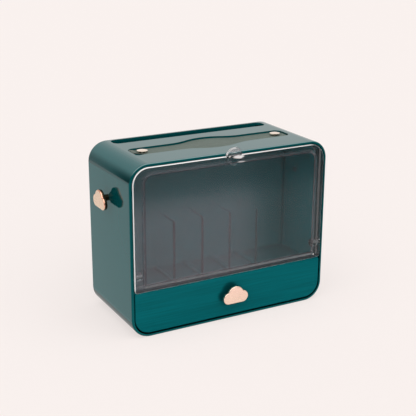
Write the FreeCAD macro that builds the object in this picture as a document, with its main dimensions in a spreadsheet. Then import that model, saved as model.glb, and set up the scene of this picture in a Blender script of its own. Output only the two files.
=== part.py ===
"""Cosmetic organizer box: rounded shell, flip-down lid, drawer, dividers, strap and cloud fittings.

Millimetres. X runs left to right, Y from front (negative) to back, Z up. The origin is the centre
of the base, on the table.
"""
import FreeCAD, Part
import math
import os
import re

import Sketcher

# Driving dimensions
SIZES = {
    # Outer shell
    "case_width": 280.0,
    "case_depth": 128.0,
    "case_height": 222.0,
    "case_corner": 25.0,
    "shell_wall": 3.0,
    "shell_edge_round": 1.6,
    # Flip-down lid
    "lid_gap": 1.1,
    "lid_drawer_gap": 1.6,
    "lid_lower_corner": 4.0,
    "lid_wall": 2.4,
    "lid_proud": 1.2,
    "lid_skirt_depth": 17.0,
    "lid_edge_round": 1.6,
    "panel_side_margin": 11.0,
    "panel_top_margin": 6.2,
    "panel_bottom_margin": 5.6,
    "panel_lower_corner": 1.2,
    "panel_raise": 1.2,
    "panel_bevel": 3.4,
    "panel_inset": 3.2,
    "tab_radius": 11.0,
    "tab_thickness": 2.2,
    "tab_root": 6.0,
    "tab_gap": 0.3,
    "tab_flare": 3.0,
    "dent_radius": 16.0,
    "dent_depth": 1.0,
    "dent_drop": 4.5,
    # Lid hinge
    "hinge_rise": 19.8,
    "hinge_setback": 6.0,
    "pin_diameter": 4.0,
    "pin_running_gap": 0.05,
    "pin_seat": 2.0,
    "pin_end_gap": 0.2,
    "barrel_diameter": 10.4,
    "barrel_length": 9.0,
    # Lid stops on the side walls
    "stop_drop": 32.0,
    "stop_length": 40.0,
    "stop_thickness": 2.0,
    "stop_reach": 3.6,
    "stop_gap": 0.3,
    # Shelf between drawer and upper compartment
    "shelf_height": 48.0,
    "shelf_thickness": 3.0,
    "shelf_side_gap": 0.2,
    "shelf_front_gap": 0.5,
    "shelf_lip_height": 6.0,
    "shelf_lip_thickness": 2.0,
    "ledge_reach": 3.5,
    "ledge_height": 3.0,
    # Inner back wall and the guides that hold it
    "inner_wall_setback": 33.0,
    "inner_wall_thickness": 2.5,
    "inner_wall_gap": 0.2,
    "guide_reach": 3.5,
    "guide_thickness": 2.0,
    "guide_drop": 27.0,
    # Dividers and their rails
    "divider_pitch": 40.8,
    "divider_thickness": 2.4,
    "divider_setback": 42.0,
    "divider_height": 81.0,
    "divider_corner": 3.0,
    "divider_gap": 0.2,
    "divider_seat_gap": 0.3,
    "rail_width": 1.8,
    "rail_height": 4.0,
    # Drawer
    "drawer_gap": 1.7,
    "drawer_floor_gap": 2.3,
    "drawer_top_rise": 10.6,
    "drawer_front_thickness": 4.0,
    "drawer_upper_corner": 1.5,
    "drawer_edge_round": 0.8,
    "tray_side_gap": 5.5,
    "tray_wall": 2.0,
    "tray_top_gap": 2.0,
    "tray_corner": 16.0,
    "tray_back_gap": 0.3,
    "runner_gap": 0.3,
    "runner_width": 5.0,
    "runner_offset": 90.0,
    # Back panel with its bosses on the shell's floor and its posts on the inner back wall
    "back_panel_thickness": 2.2,
    "back_panel_gap": 0.2,
    "boss_size": 10.0,
    "boss_length": 6.0,
    "boss_offset": 60.0,
    "wall_post_diameter": 9.0,
    "wall_post_inset": 13.0,
    "wall_post_rise": 27.0,
    "wall_post_drop": 32.0,
    "wall_post_gap": 0.2,
    # Small screws
    "screw_diameter": 3.0,
    "screw_head_diameter": 5.6,
    "screw_head_height": 1.8,
    "screw_hole_gap": 0.2,
    "back_screw_length": 6.5,
    "front_screw_length": 4.6,
    "front_screw_offset": 100.0,
    "front_screw_rise": 12.7,
    "front_screw_drop": 9.0,
    "screw_end_room": 0.3,
    # Cloud-shaped knob and hooks, with the lobes measured from the middle of the flat lower edge
    "cloud_left_radius": 7.6,
    "cloud_left_offset": 8.6,
    "cloud_top_radius": 11.7,
    "cloud_top_offset": 1.5,
    "cloud_height": 23.0,
    "cloud_right_radius": 8.0,
    "cloud_right_offset": 11.4,
    "cloud_valley_radius": 1.6,
    "cloud_thickness": 4.8,
    "cloud_edge_round": 1.1,
    "cloud_post_height": 11.5,
    "post_diameter": 8.0,
    "knob_post_length": 4.8,
    "knob_rise": 3.25,
    "hook_post_length": 8.1,
    "hook_drop": 55.9,
    "hook_depth": 2.2,
    "fitting_screw_diameter": 4.0,
    "fitting_screw_head_diameter": 7.5,
    "fitting_screw_head_height": 2.2,
    "fitting_screw_bite": 6.0,
    # Carry strap with its recess, studs and nuts
    "recess_end_margin": 3.7,
    "recess_half_width": 16.0,
    "recess_end_corner": 9.0,
    "recess_swell": 11.2,
    "recess_swell_half_length": 51.0,
    "recess_centre": 7.0,
    "recess_depth": 4.9,
    "recess_floor": 2.2,
    "recess_side_wall": 2.0,
    "strap_gap": 0.6,
    "strap_seat_gap": 0.2,
    "strap_thickness": 2.7,
    "strap_edge_round": 0.8,
    "stud_inset": 15.0,
    "stud_neck_diameter": 7.0,
    "stud_neck_height": 1.4,
    "stud_head_diameter": 13.5,
    "stud_rim_height": 1.3,
    "stud_dome_rise": 1.0,
    "stud_shank_diameter": 4.0,
    "stud_seat_gap": 0.1,
    "stud_tail": 1.0,
    "strap_hole_gap": 0.4,
    "nut_across_corners": 8.1,
    "nut_height": 2.6,
    # Slot in the top, above the rear pocket
    "slot_end_margin": 2.5,
    "slot_width": 20.0,
    "slot_back_wall": 4.5,
    "slot_end_corner": 8.0,
}

doc = FreeCAD.newDocument("CosmeticOrganizer")
sheet = doc.addObject("Spreadsheet::Sheet", "Sizes")
for row, (size_name, size_value) in enumerate(SIZES.items(), start=1):
    sheet.set(f"A{row}", size_name)
    sheet.set(f"B{row}", str(size_value))
    sheet.setAlias(f"B{row}", size_name)
doc.recompute()

# Places that several pieces share, as formulas on the sheet
FRONT = "(-case_depth / 2)"
BACK = "(case_depth / 2)"
INNER_HALF = "(case_width / 2 - shell_wall)"
INNER_TOP = "(case_height - shell_wall)"
INNER_CORNER = "(case_corner - shell_wall)"
PANEL_BACK = f"({BACK} - screw_head_height)"
PANEL_FRONT = f"({PANEL_BACK} - back_panel_thickness)"
SHELF_BOTTOM = "(shelf_height - shelf_thickness)"
SHELF_FRONT = f"({FRONT} + drawer_front_thickness + shelf_front_gap)"
DRAWER_HALF = f"({INNER_HALF} - drawer_gap)"
DRAWER_BOTTOM = "(shell_wall + drawer_floor_gap)"
DRAWER_TOP = "(shelf_height + drawer_top_rise)"
TRAY_HALF = f"({INNER_HALF} - tray_side_gap)"
TRAY_TOP = f"({SHELF_BOTTOM} - tray_top_gap)"
TRAY_FRONT = f"({FRONT} + drawer_front_thickness)"
TRAY_BACK = f"({PANEL_FRONT} - boss_length - tray_back_gap)"
LID_HALF = f"({INNER_HALF} - lid_gap)"
LID_BOTTOM = f"({DRAWER_TOP} + lid_drawer_gap)"
LID_TOP = f"({INNER_TOP} - lid_gap)"
LID_CORNER = f"({INNER_CORNER} - lid_gap)"
LID_RIM_FRONT = f"({FRONT} - lid_proud)"
LID_SKIRT_BACK = f"({FRONT} + lid_skirt_depth)"
HINGE_DEPTH = f"({FRONT} + hinge_setback)"
HINGE_HEIGHT = f"({LID_BOTTOM} + hinge_rise)"
INNER_WALL_FRONT = f"({BACK} - inner_wall_setback)"
INNER_WALL_BACK = f"({INNER_WALL_FRONT} + inner_wall_thickness)"
DIVIDER_FRONT = f"({FRONT} + divider_setback)"
DIVIDER_TOP = "(shelf_height + divider_height)"
RECESS_HALF = "(case_width / 2 - case_corner - recess_end_margin)"
RECESS_FLOOR = "(case_height - recess_depth)"
STRAP_BOTTOM = f"({RECESS_FLOOR} + strap_seat_gap)"
STRAP_TOP = f"({STRAP_BOTTOM} + strap_thickness)"
STUD_OFFSET = f"({RECESS_HALF} - stud_inset)"
STUD_SEAT = f"({STRAP_TOP} + stud_seat_gap)"
NUT_TOP = f"({RECESS_FLOOR} - recess_floor)"
SLOT_HALF = "(case_width / 2 - case_corner - slot_end_margin)"
SLOT_FRONT = f"({BACK} - slot_back_wall - slot_width)"
SLOT_BACK = f"({BACK} - slot_back_wall)"
DIVIDER_PLACES = {
    "divider_1": "(-1.5 * divider_pitch)",
    "divider_2": "(-0.5 * divider_pitch)",
    "divider_3": "(0.5 * divider_pitch)",
    "divider_4": "(1.5 * divider_pitch)",
}
SIDES = {"left": "-1", "right": "1"}
BOSS_PLACES = [(f"{sign} * boss_offset", "(shell_wall + boss_size / 2)") for sign in SIDES.values()]
WALL_POST_PLACES = [
    (f"{sign} * ({INNER_HALF} - wall_post_inset)", height)
    for sign in SIDES.values()
    for height in ("(shelf_height + wall_post_rise)", "(case_height - wall_post_drop)")
]
BACK_SCREW_PLACES = BOSS_PLACES + WALL_POST_PLACES
BACK_SCREW_BITE = "(back_screw_length - back_panel_thickness + screw_end_room)"
FRONT_SCREW_PLACES = [
    (f"{sign} * front_screw_offset", height)
    for sign in SIDES.values()
    for height in (f"({DRAWER_BOTTOM} + front_screw_rise)", f"({TRAY_TOP} - front_screw_drop)")
]
KNOB_SCREW_HEIGHT = f"(({DRAWER_BOTTOM} + {DRAWER_TOP}) / 2 + knob_rise)"
HOOK_SCREW_HEIGHT = "(case_height - hook_drop)"

sub_parts = []


def formula(text):
    """Write the sheet's name before every size in a formula."""
    return re.sub(r"[a-z][a-z_]*", lambda m: f"Sizes.{m[0]}" if m[0] in SIZES else m[0], text)


def number(text):
    """Value of a formula at the sheet's present sizes."""
    return float(sheet.evalExpression(formula(text)))


def bind(target, **formulas):
    """Tie properties of a document object to formulas; a double underscore stands for a dot."""
    for name, text in formulas.items():
        target.setExpression(name.replace("__", "."), formula(text))
    return target


def place(target, x="0", y="0", z="0", axis=None, angle=0.0):
    """Turn an object about an axis and tie its position to formulas."""
    if axis is not None:
        turn = FreeCAD.Rotation(FreeCAD.Vector(*axis), angle)
        target.Placement = FreeCAD.Placement(FreeCAD.Vector(), turn)
    return bind(target, Placement__Base__x=x, Placement__Base__y=y, Placement__Base__z=z)


def keep(target, node):
    """Name a finished object after its node and put it on the list of sub-parts."""
    target.Label = node
    sub_parts.append(target)
    return target


def new_body(name):
    """Empty body for a sub-part."""
    return doc.addObject("PartDesign::Body", name)


def origin_plane(body, role):
    """One of a body's own origin planes."""
    return next(item for item in body.Origin.OriginFeatures if item.Role == role)


def new_sketch(body, role, offset):
    """Sketch on an origin plane of a body, moved along the plane's normal."""
    sketch = body.newObject("Sketcher::SketchObject", "Sketch")
    sketch.AttachmentSupport = (origin_plane(body, role), [""])
    sketch.MapMode = "FlatFace"
    return bind(sketch, AttachmentOffset__Base__z=offset)


def dimension(sketch, constraint, text):
    """Add a dimension to a sketch and tie it to a formula."""
    index = sketch.addConstraint(constraint)
    name = f"size_{index}"
    sketch.renameConstraint(index, name)
    sketch.setExpression(f"Constraints.{name}", formula(text))


def fix_point(sketch, shape, point, x, y):
    """Dimension one point of a sketch from the sketch's origin."""
    dimension(sketch, Sketcher.Constraint("DistanceX", -1, 1, shape, point, number(x)), x)
    dimension(sketch, Sketcher.Constraint("DistanceY", -1, 1, shape, point, number(y)), y)


def arc_between(start, end, radius, bulge):
    """Arc of under half a circle; bulge is 1 where the outline turns left along it, else -1."""
    chord = end - start
    middle = (start + end) * 0.5
    height = math.sqrt(max(radius ** 2 - (chord.Length / 2) ** 2, 0.0))
    centre = middle + FreeCAD.Vector(-chord.y, chord.x, 0).normalize() * height * bulge
    first, last = (start, end) if bulge > 0 else (end, start)
    angles = [math.atan2(point.y - centre.y, point.x - centre.x) for point in (first, last)]
    return Part.ArcOfCircle(Part.Circle(centre, FreeCAD.Vector(0, 0, 1), radius), *angles)


def add_outline(sketch, corners):
    """Closed outline with every corner dimensioned.

    A corner is (x, y) before a straight side, or (x, y, radius, bulge) before an arc.
    """
    points = [FreeCAD.Vector(number(corner[0]), number(corner[1]), 0) for corner in corners]
    ends = []
    for index, corner in enumerate(corners):
        start, end = points[index], points[(index + 1) % len(points)]
        if len(corner) == 2:
            shape = sketch.addGeometry(Part.LineSegment(start, end), False)
            ends.append((shape, 1, 2))
        else:
            radius, bulge = corner[2], corner[3]
            shape = sketch.addGeometry(arc_between(start, end, number(radius), bulge), False)
            ends.append((shape, 1, 2) if bulge > 0 else (shape, 2, 1))
            dimension(sketch, Sketcher.Constraint("Radius", shape, number(radius)), radius)
    for index, (shape, first, last) in enumerate(ends):
        following = ends[(index + 1) % len(ends)]
        sketch.addConstraint(Sketcher.Constraint("Coincident", shape, last, following[0], following[1]))
        fix_point(sketch, shape, first, corners[index][0], corners[index][1])


def add_circle(sketch, x, y, radius):
    """Circle with its centre and radius dimensioned."""
    centre = FreeCAD.Vector(number(x), number(y), 0)
    shape = sketch.addGeometry(Part.Circle(centre, FreeCAD.Vector(0, 0, 1), number(radius)), False)
    fix_point(sketch, shape, 3, x, y)
    dimension(sketch, Sketcher.Constraint("Radius", shape, number(radius)), radius)


def rectangle(x_low, y_low, x_high, y_high):
    """Corners of a plain rectangle."""
    return [(x_low, y_low), (x_high, y_low), (x_high, y_high), (x_low, y_high)]


def rounded(half_width, low, high, low_radius, high_radius):
    """Corners of a rectangle centred across X, with one radius below and one above."""
    return [
        (f"-{half_width} + {low_radius}", low),
        (f"{half_width} - {low_radius}", low, low_radius, 1),
        (half_width, f"{low} + {low_radius}"),
        (half_width, f"{high} - {high_radius}", high_radius, 1),
        (f"{half_width} - {high_radius}", high),
        (f"-{half_width} + {high_radius}", high, high_radius, 1),
        (f"-{half_width}", f"{high} - {high_radius}"),
        (f"-{half_width}", f"{low} + {low_radius}", low_radius, 1),
    ]


def strap_outline(grow):
    """Corners of the recess outline, straight at its ends and swelling in the middle, grown all round."""
    half_length = f"({RECESS_HALF} + {grow})"
    half_width = f"(recess_half_width + {grow})"
    corner = f"(recess_end_corner + {grow})"
    swell = f"({half_width} + recess_swell)"
    bend = "((recess_swell_half_length ^ 2 + recess_swell ^ 2) / (4 * recess_swell))"
    middle = f"({half_width} + recess_swell / 2)"
    centre = "-recess_centre"
    start = "recess_swell_half_length"
    return [
        (f"-{half_length} + {corner}", f"{centre} - {half_width}"),
        (f"-{start}", f"{centre} - {half_width}", bend, -1),
        (f"-{start} / 2", f"{centre} - {middle}", bend, 1),
        ("0", f"{centre} - {swell}", bend, 1),
        (f"{start} / 2", f"{centre} - {middle}", bend, -1),
        (start, f"{centre} - {half_width}"),
        (f"{half_length} - {corner}", f"{centre} - {half_width}", corner, 1),
        (half_length, f"{centre} - {half_width} + {corner}"),
        (half_length, f"{centre} + {half_width} - {corner}", corner, 1),
        (f"{half_length} - {corner}", f"{centre} + {half_width}"),
        (start, f"{centre} + {half_width}", bend, -1),
        (f"{start} / 2", f"{centre} + {middle}", bend, 1),
        ("0", f"{centre} + {swell}", bend, 1),
        (f"-{start} / 2", f"{centre} + {middle}", bend, -1),
        (f"-{start}", f"{centre} + {half_width}"),
        (f"-{half_length} + {corner}", f"{centre} + {half_width}", corner, 1),
        (f"-{half_length}", f"{centre} + {half_width} - {corner}"),
        (f"-{half_length}", f"{centre} - {half_width} + {corner}", corner, 1),
    ]


def sketch_of(body, role, offset, outlines=(), circles=()):
    """Sketch with closed outlines and circles."""
    sketch = new_sketch(body, role, offset)
    for corners in outlines:
        add_outline(sketch, corners)
    for circle in circles:
        add_circle(sketch, *circle)
    return sketch


def pad(body, sketch, length, reverse=False, both_ways=False):
    """Add material along a sketch's normal, or half to each side of it."""
    feature = body.newObject("PartDesign::Pad", "Pad")
    feature.Profile = sketch
    feature.Reversed = reverse
    feature.Midplane = both_ways
    return bind(feature, Length=length)


def pocket(body, sketch, length, reverse=False, both_ways=False):
    """Cut against a sketch's normal, and stop if the cut takes nothing away."""
    doc.recompute()
    before = body.Shape.Volume
    feature = body.newObject("PartDesign::Pocket", "Pocket")
    feature.Profile = sketch
    feature.Reversed = reverse
    feature.Midplane = both_ways
    bind(feature, Length=length)
    doc.recompute()
    if not body.Shape.Volume < before:
        raise RuntimeError(f"A pocket of {body.Name} cuts nothing")
    return feature


def loft(body, first, last):
    """Add material between two outlines, with straight sides."""
    feature = body.newObject("PartDesign::AdditiveLoft", "Loft")
    feature.Profile = first
    feature.Sections = [last]
    feature.Ruled = True
    return feature


def mirror(body, features):
    """Repeat features on the other side of the middle plane."""
    doc.recompute()
    feature = body.newObject("PartDesign::Mirrored", "Mirrored")
    feature.Originals = features
    feature.MirrorPlane = (origin_plane(body, "YZ_Plane"), [""])
    body.Tip = feature
    return feature


def round_edges(body, radius, chosen):
    """Fillet the edges of a body's tip that the chosen test picks."""
    doc.recompute()
    base = body.Tip
    names = [f"Edge{i}" for i, edge in enumerate(base.Shape.Edges, start=1) if chosen(edge)]
    if not names:
        raise RuntimeError(f"No edge to round on {body.Name}")
    feature = body.newObject("PartDesign::Fillet", "Fillet")
    feature.Base = (base, names)
    return bind(feature, Radius=radius)


def lies_at(edge, axis, value):
    """True for an edge whose whole length lies at one value of x, y or z."""
    low = getattr(edge.BoundBox, f"{axis}Min")
    high = getattr(edge.BoundBox, f"{axis}Max")
    return abs(low - value) < 1e-4 and abs(high - value) < 1e-4


def plane_edges(axis, *places):
    """Test for edges that lie at any of the places along an axis."""
    values = [number(text) for text in places]
    return lambda edge: any(lies_at(edge, axis, value) for value in values)


def outer_shell():
    """Sleeve of the case, with recess, slot, ledges, guides, stops, runners and screw bosses."""
    body = new_body("OuterShell")
    outer = rounded("(case_width / 2)", "0", "case_height", "case_corner", "case_corner")
    inner = rounded(INNER_HALF, "shell_wall", INNER_TOP, INNER_CORNER, INNER_CORNER)
    pad(body, sketch_of(body, "XZ_Plane", f"-{BACK}", [outer, inner]), "case_depth")
    reach = number("case_width / 2 - shell_wall / 2")
    crown = number("case_height - shell_wall / 2")
    sill = number("shell_wall / 2")
    corner_reach = number("case_corner - shell_wall / 2")

    def is_outer(edge):
        """True for a front or back edge on the outside of the sleeve."""
        if not plane_edges("Y", FRONT, BACK)(edge):
            return False
        middle = edge.valueAt((edge.FirstParameter + edge.LastParameter) / 2)
        if abs(middle.x) > reach or middle.z > crown or middle.z < sill:
            return True
        return edge.Curve.TypeId == "Part::GeomCircle" and edge.Curve.Radius > corner_reach

    round_edges(body, "shell_edge_round", is_outer)

    pan_drop = "(recess_depth + recess_floor - shell_wall)"
    pan = sketch_of(body, "XY_Plane", INNER_TOP, [strap_outline("recess_side_wall")])
    pad(body, pan, pan_drop, reverse=True)
    pocket(body, sketch_of(body, "XY_Plane", "case_height", [strap_outline("0")]), "recess_depth")
    stud_holes = [
        (f"{sign} * {STUD_OFFSET}", "-recess_centre", "(stud_shank_diameter / 2 + screw_hole_gap)")
        for sign in SIDES.values()
    ]
    pocket(body, sketch_of(body, "XY_Plane", RECESS_FLOOR, circles=stud_holes), "recess_floor")
    slot = rounded(SLOT_HALF, SLOT_FRONT, SLOT_BACK, "slot_end_corner", "slot_end_corner")
    pocket(body, sketch_of(body, "XY_Plane", "case_height", [slot]), "shell_wall")

    def both_sides(low, high, reach_name):
        """Rectangles on the two side walls, from the wall inwards."""
        return [
            rectangle(f"-{INNER_HALF}", low, f"-{INNER_HALF} + {reach_name}", high),
            rectangle(f"{INNER_HALF} - {reach_name}", low, INNER_HALF, high),
        ]

    ledges = both_sides(f"{SHELF_BOTTOM} - ledge_height", SHELF_BOTTOM, "ledge_reach")
    pad(body, sketch_of(body, "XZ_Plane", f"-{PANEL_FRONT}", ledges), f"{PANEL_FRONT} - {SHELF_FRONT}")
    stop_top = "(case_height - stop_drop)"
    stops = both_sides(f"{stop_top} - stop_length", stop_top, "stop_reach")
    stop_back = f"({LID_SKIRT_BACK} + stop_gap + stop_thickness)"
    pad(body, sketch_of(body, "XZ_Plane", f"-{stop_back}", stops), "stop_thickness")
    guides = both_sides("shelf_height", "(case_height - guide_drop)", "guide_reach")
    for guide_back in (
        f"({INNER_WALL_FRONT} - inner_wall_gap)",
        f"({INNER_WALL_BACK} + inner_wall_gap + guide_thickness)",
    ):
        pad(body, sketch_of(body, "XZ_Plane", f"-{guide_back}", guides), "guide_thickness")
    half = "boss_size / 2"
    bosses = [
        rectangle(f"{across} - {half}", f"{height} - {half}", f"{across} + {half}", f"{height} + {half}")
        for across, height in BOSS_PLACES
    ]
    pad(body, sketch_of(body, "XZ_Plane", f"-{PANEL_FRONT}", bosses), "boss_length")
    holes = [(across, height, "screw_diameter / 2") for across, height in BOSS_PLACES]
    sketch = sketch_of(body, "XZ_Plane", f"-{PANEL_FRONT}", circles=holes)
    pocket(body, sketch, BACK_SCREW_BITE, reverse=True)

    runners = [
        rectangle(
            f"{sign} * runner_offset - runner_width / 2", TRAY_FRONT,
            f"{sign} * runner_offset + runner_width / 2", TRAY_BACK,
        )
        for sign in SIDES.values()
    ]
    pad(body, sketch_of(body, "XY_Plane", "shell_wall", runners), "drawer_floor_gap - runner_gap")

    hook_hole = ("hook_depth", HOOK_SCREW_HEIGHT, "(fitting_screw_diameter / 2 + screw_hole_gap)")
    pocket(body, sketch_of(body, "YZ_Plane", "0", circles=[hook_hole]), "2 * case_width", both_ways=True)
    pin_seat = (HINGE_DEPTH, HINGE_HEIGHT, "(pin_diameter / 2 + pin_running_gap)")
    seat_span = f"2 * ({INNER_HALF} + pin_seat)"
    pocket(body, sketch_of(body, "YZ_Plane", "0", circles=[pin_seat]), seat_span, both_ways=True)
    return keep(body, "outer_shell")


def back_panel():
    """Rear cover that fills the back of the sleeve, with its screw holes."""
    body = new_body("BackPanel")
    corner = f"({INNER_CORNER} - back_panel_gap)"
    half = f"({INNER_HALF} - back_panel_gap)"
    low = "(shell_wall + back_panel_gap)"
    high = f"({INNER_TOP} - back_panel_gap)"
    outline = rounded(half, low, high, corner, corner)
    pad(body, sketch_of(body, "XZ_Plane", f"-{PANEL_BACK}", [outline]), "back_panel_thickness")
    hole = "(screw_diameter / 2 + screw_hole_gap)"
    holes = [(across, height, hole) for across, height in BACK_SCREW_PLACES]
    sketch = sketch_of(body, "XZ_Plane", f"-{PANEL_BACK}", circles=holes)
    pocket(body, sketch, "back_panel_thickness", reverse=True)
    return keep(body, "back_panel")


def mid_shelf():
    """Floor of the upper compartment, with a front lip and a pair of rails for each divider."""
    body = new_body("MidShelf")
    half = f"({INNER_HALF} - shelf_side_gap)"
    shelf_back = f"({PANEL_FRONT} - shelf_side_gap)"
    plate = rectangle(f"-{half}", SHELF_FRONT, half, shelf_back)
    pad(body, sketch_of(body, "XY_Plane", SHELF_BOTTOM, [plate]), "shelf_thickness")
    lip = rectangle(f"-{half}", SHELF_FRONT, half, f"{SHELF_FRONT} + shelf_lip_thickness")
    pad(body, sketch_of(body, "XY_Plane", "shelf_height", [lip]), "shelf_lip_height")
    rails = [rail for across in DIVIDER_PLACES.values() for rail in rail_pair(across)]
    pad(body, sketch_of(body, "XY_Plane", "shelf_height", rails), "rail_height")
    return keep(body, "mid_shelf")


def rail_pair(across):
    """Two rectangles on the shelf that leave room for a divider between them."""
    room = "(divider_thickness / 2 + divider_gap)"
    near, far = DIVIDER_FRONT, INNER_WALL_FRONT
    return [
        rectangle(f"{across} - {room} - rail_width", near, f"{across} - {room}", far),
        rectangle(f"{across} + {room}", near, f"{across} + {room} + rail_width", far),
    ]


def inner_back_wall():
    """Rear wall of the upper compartment, with posts for the back panel's screws."""
    body = new_body("InnerBackWall")
    half = f"({INNER_HALF} - inner_wall_gap)"
    corner = f"({INNER_CORNER} - inner_wall_gap)"
    outline = rounded(half, "shelf_height", f"({INNER_TOP} - inner_wall_gap)", "divider_corner", corner)
    pad(body, sketch_of(body, "XZ_Plane", f"-{INNER_WALL_BACK}", [outline]), "inner_wall_thickness")
    post_end = f"({PANEL_FRONT} - wall_post_gap)"
    posts = [(across, height, "wall_post_diameter / 2") for across, height in WALL_POST_PLACES]
    sketch = sketch_of(body, "XZ_Plane", f"-{post_end}", circles=posts)
    pad(body, sketch, f"{post_end} - {INNER_WALL_BACK}")
    holes = [(across, height, "screw_diameter / 2") for across, height in WALL_POST_PLACES]
    sketch = sketch_of(body, "XZ_Plane", f"-{post_end}", circles=holes)
    pocket(body, sketch, BACK_SCREW_BITE, reverse=True)
    return keep(body, "inner_back_wall")


def divider(node, across):
    """Upright plate that stands in the rails of the shelf."""
    body = new_body("Divider")
    back = f"({INNER_WALL_FRONT} - divider_seat_gap)"
    foot = "(shelf_height + divider_seat_gap)"
    outline = [
        (DIVIDER_FRONT, foot),
        (back, foot),
        (back, DIVIDER_TOP),
        (f"{DIVIDER_FRONT} + divider_corner", DIVIDER_TOP, "divider_corner", 1),
        (DIVIDER_FRONT, f"{DIVIDER_TOP} - divider_corner"),
    ]
    pad(body, sketch_of(body, "YZ_Plane", "-divider_thickness / 2", [outline]), "divider_thickness")
    place(body, x=across)
    return keep(body, node)


def add_tab(body):
    """Pull tab of the lid: a plate that flares to the front, with a round crest and a thumb dent below."""
    back = f"({FRONT} - tab_gap)"
    bend = "((tab_radius ^ 2 + tab_flare ^ 2) / (2 * tab_flare))"
    share = f"(({bend} - tab_thickness) / {bend})"
    profile = [
        (f"{back} - tab_thickness", f"{LID_TOP} - tab_root"),
        (back, f"{LID_TOP} - tab_root"),
        (back, LID_TOP, bend, 1),
        (f"{back} - tab_flare", f"{LID_TOP} + tab_radius"),
        (f"{back} - {bend} + {share} * ({bend} - tab_flare)", f"{LID_TOP} + {share} * tab_radius",
         f"({bend} - tab_thickness)", -1),
        (f"{back} - tab_thickness", LID_TOP),
    ]
    pad(body, sketch_of(body, "YZ_Plane", "0", [profile]), "2 * tab_radius", both_ways=True)
    spare = "(2 * tab_radius)"
    corners = [
        ("tab_radius", LID_TOP, "tab_radius", 1),
        ("0", f"{LID_TOP} + tab_radius", "tab_radius", 1),
        ("-tab_radius", LID_TOP),
        (f"-{spare}", LID_TOP),
        (f"-{spare}", f"{LID_TOP} + {spare}"),
        (spare, f"{LID_TOP} + {spare}"),
        (spare, LID_TOP),
    ]
    pocket(body, sketch_of(body, "XZ_Plane", f"-{FRONT}", [corners]), spare, reverse=True)
    doc.recompute()
    dent = body.newObject("PartDesign::SubtractiveSphere", "Dent")
    bind(dent, Radius="dent_radius")
    reach = f"({LID_RIM_FRONT} - dent_radius + dent_depth)"
    place(dent, "0", reach, f"{LID_TOP} - dent_drop")


def flip_lid():
    """Clear cover: rim, skirt all round, raised panel, pull tab and two hinge barrels."""
    body = new_body("FlipLid")
    depth = "(lid_proud + lid_skirt_depth)"
    outer = rounded(LID_HALF, LID_BOTTOM, LID_TOP, "lid_lower_corner", LID_CORNER)
    pad(body, sketch_of(body, "XZ_Plane", f"-{LID_SKIRT_BACK}", [outer]), depth)
    round_edges(body, "lid_edge_round", plane_edges("Y", LID_RIM_FRONT))
    cavity = rounded(
        f"({LID_HALF} - lid_wall)", f"({LID_BOTTOM} + lid_wall)", f"({LID_TOP} - lid_wall)",
        "(lid_lower_corner - lid_wall)", f"({LID_CORNER} - lid_wall)",
    )
    sketch = sketch_of(body, "XZ_Plane", f"-{LID_SKIRT_BACK}", [cavity])
    pocket(body, sketch, f"{depth} - lid_wall", reverse=True)

    def panel(inset):
        """Outline of the raised panel, drawn in all round."""
        return rounded(
            f"({LID_HALF} - panel_side_margin - {inset})",
            f"({LID_BOTTOM} + panel_bottom_margin + {inset})",
            f"({LID_TOP} - panel_top_margin - {inset})",
            "panel_lower_corner",
            f"({LID_CORNER} - panel_top_margin - {inset})",
        )

    foot = sketch_of(body, "XZ_Plane", f"-{LID_RIM_FRONT}", [panel("0")])
    face = sketch_of(body, "XZ_Plane", f"-{LID_RIM_FRONT} + panel_raise", [panel("panel_bevel")])
    loft(body, foot, face)
    hollow = sketch_of(body, "XZ_Plane", f"-({LID_RIM_FRONT} + lid_wall)", [panel("panel_inset")])
    pocket(body, hollow, "panel_raise", reverse=True)

    add_tab(body)

    barrel_start = f"({LID_HALF} - lid_wall - barrel_length)"
    ring = (HINGE_DEPTH, HINGE_HEIGHT, "barrel_diameter / 2")
    barrel = sketch_of(body, "YZ_Plane", barrel_start, circles=[ring])
    mirror(body, [pad(body, barrel, "barrel_length + lid_wall / 2")])
    bore = sketch_of(body, "YZ_Plane", "0", circles=[(HINGE_DEPTH, HINGE_HEIGHT, "pin_diameter / 2")])
    pocket(body, bore, f"2 * {INNER_HALF}", both_ways=True)
    return keep(body, "flip_lid")


def lid_pin(side):
    """Hinge pin, held in the lid's barrel and turning in the shell's wall."""
    outer_end = f"({INNER_HALF} + pin_seat - pin_end_gap)"
    inner_end = f"({LID_HALF} - lid_wall - barrel_length)"
    pin = doc.addObject("Part::Cylinder", "LidPin")
    bind(pin, Radius="pin_diameter / 2", Height=f"{outer_end} - {inner_end}")
    start = inner_end if side == "right" else f"-{outer_end}"
    place(pin, start, HINGE_DEPTH, HINGE_HEIGHT, axis=(0, 1, 0), angle=90)
    return keep(pin, f"lid_pin_{side}")


def drawer_front():
    """Plate that closes the drawer opening, rounded below like the shell."""
    body = new_body("DrawerFront")
    corner = f"({INNER_CORNER} - drawer_gap)"
    outline = rounded(DRAWER_HALF, DRAWER_BOTTOM, DRAWER_TOP, corner, "drawer_upper_corner")
    pad(body, sketch_of(body, "XZ_Plane", f"-{TRAY_FRONT}", [outline]), "drawer_front_thickness")
    round_edges(body, "drawer_edge_round", plane_edges("Y", FRONT))
    knob_hole = ("0", KNOB_SCREW_HEIGHT, "(fitting_screw_diameter / 2 + screw_hole_gap)")
    sketch = sketch_of(body, "XZ_Plane", f"-{TRAY_FRONT}", circles=[knob_hole])
    pocket(body, sketch, "drawer_front_thickness", reverse=True)
    blind = [(across, height, "screw_diameter / 2") for across, height in FRONT_SCREW_PLACES]
    sketch = sketch_of(body, "XZ_Plane", f"-{TRAY_FRONT}", circles=blind)
    pocket(body, sketch, "front_screw_length - tray_wall + screw_end_room", reverse=True)
    return keep(body, "drawer_front")


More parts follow.
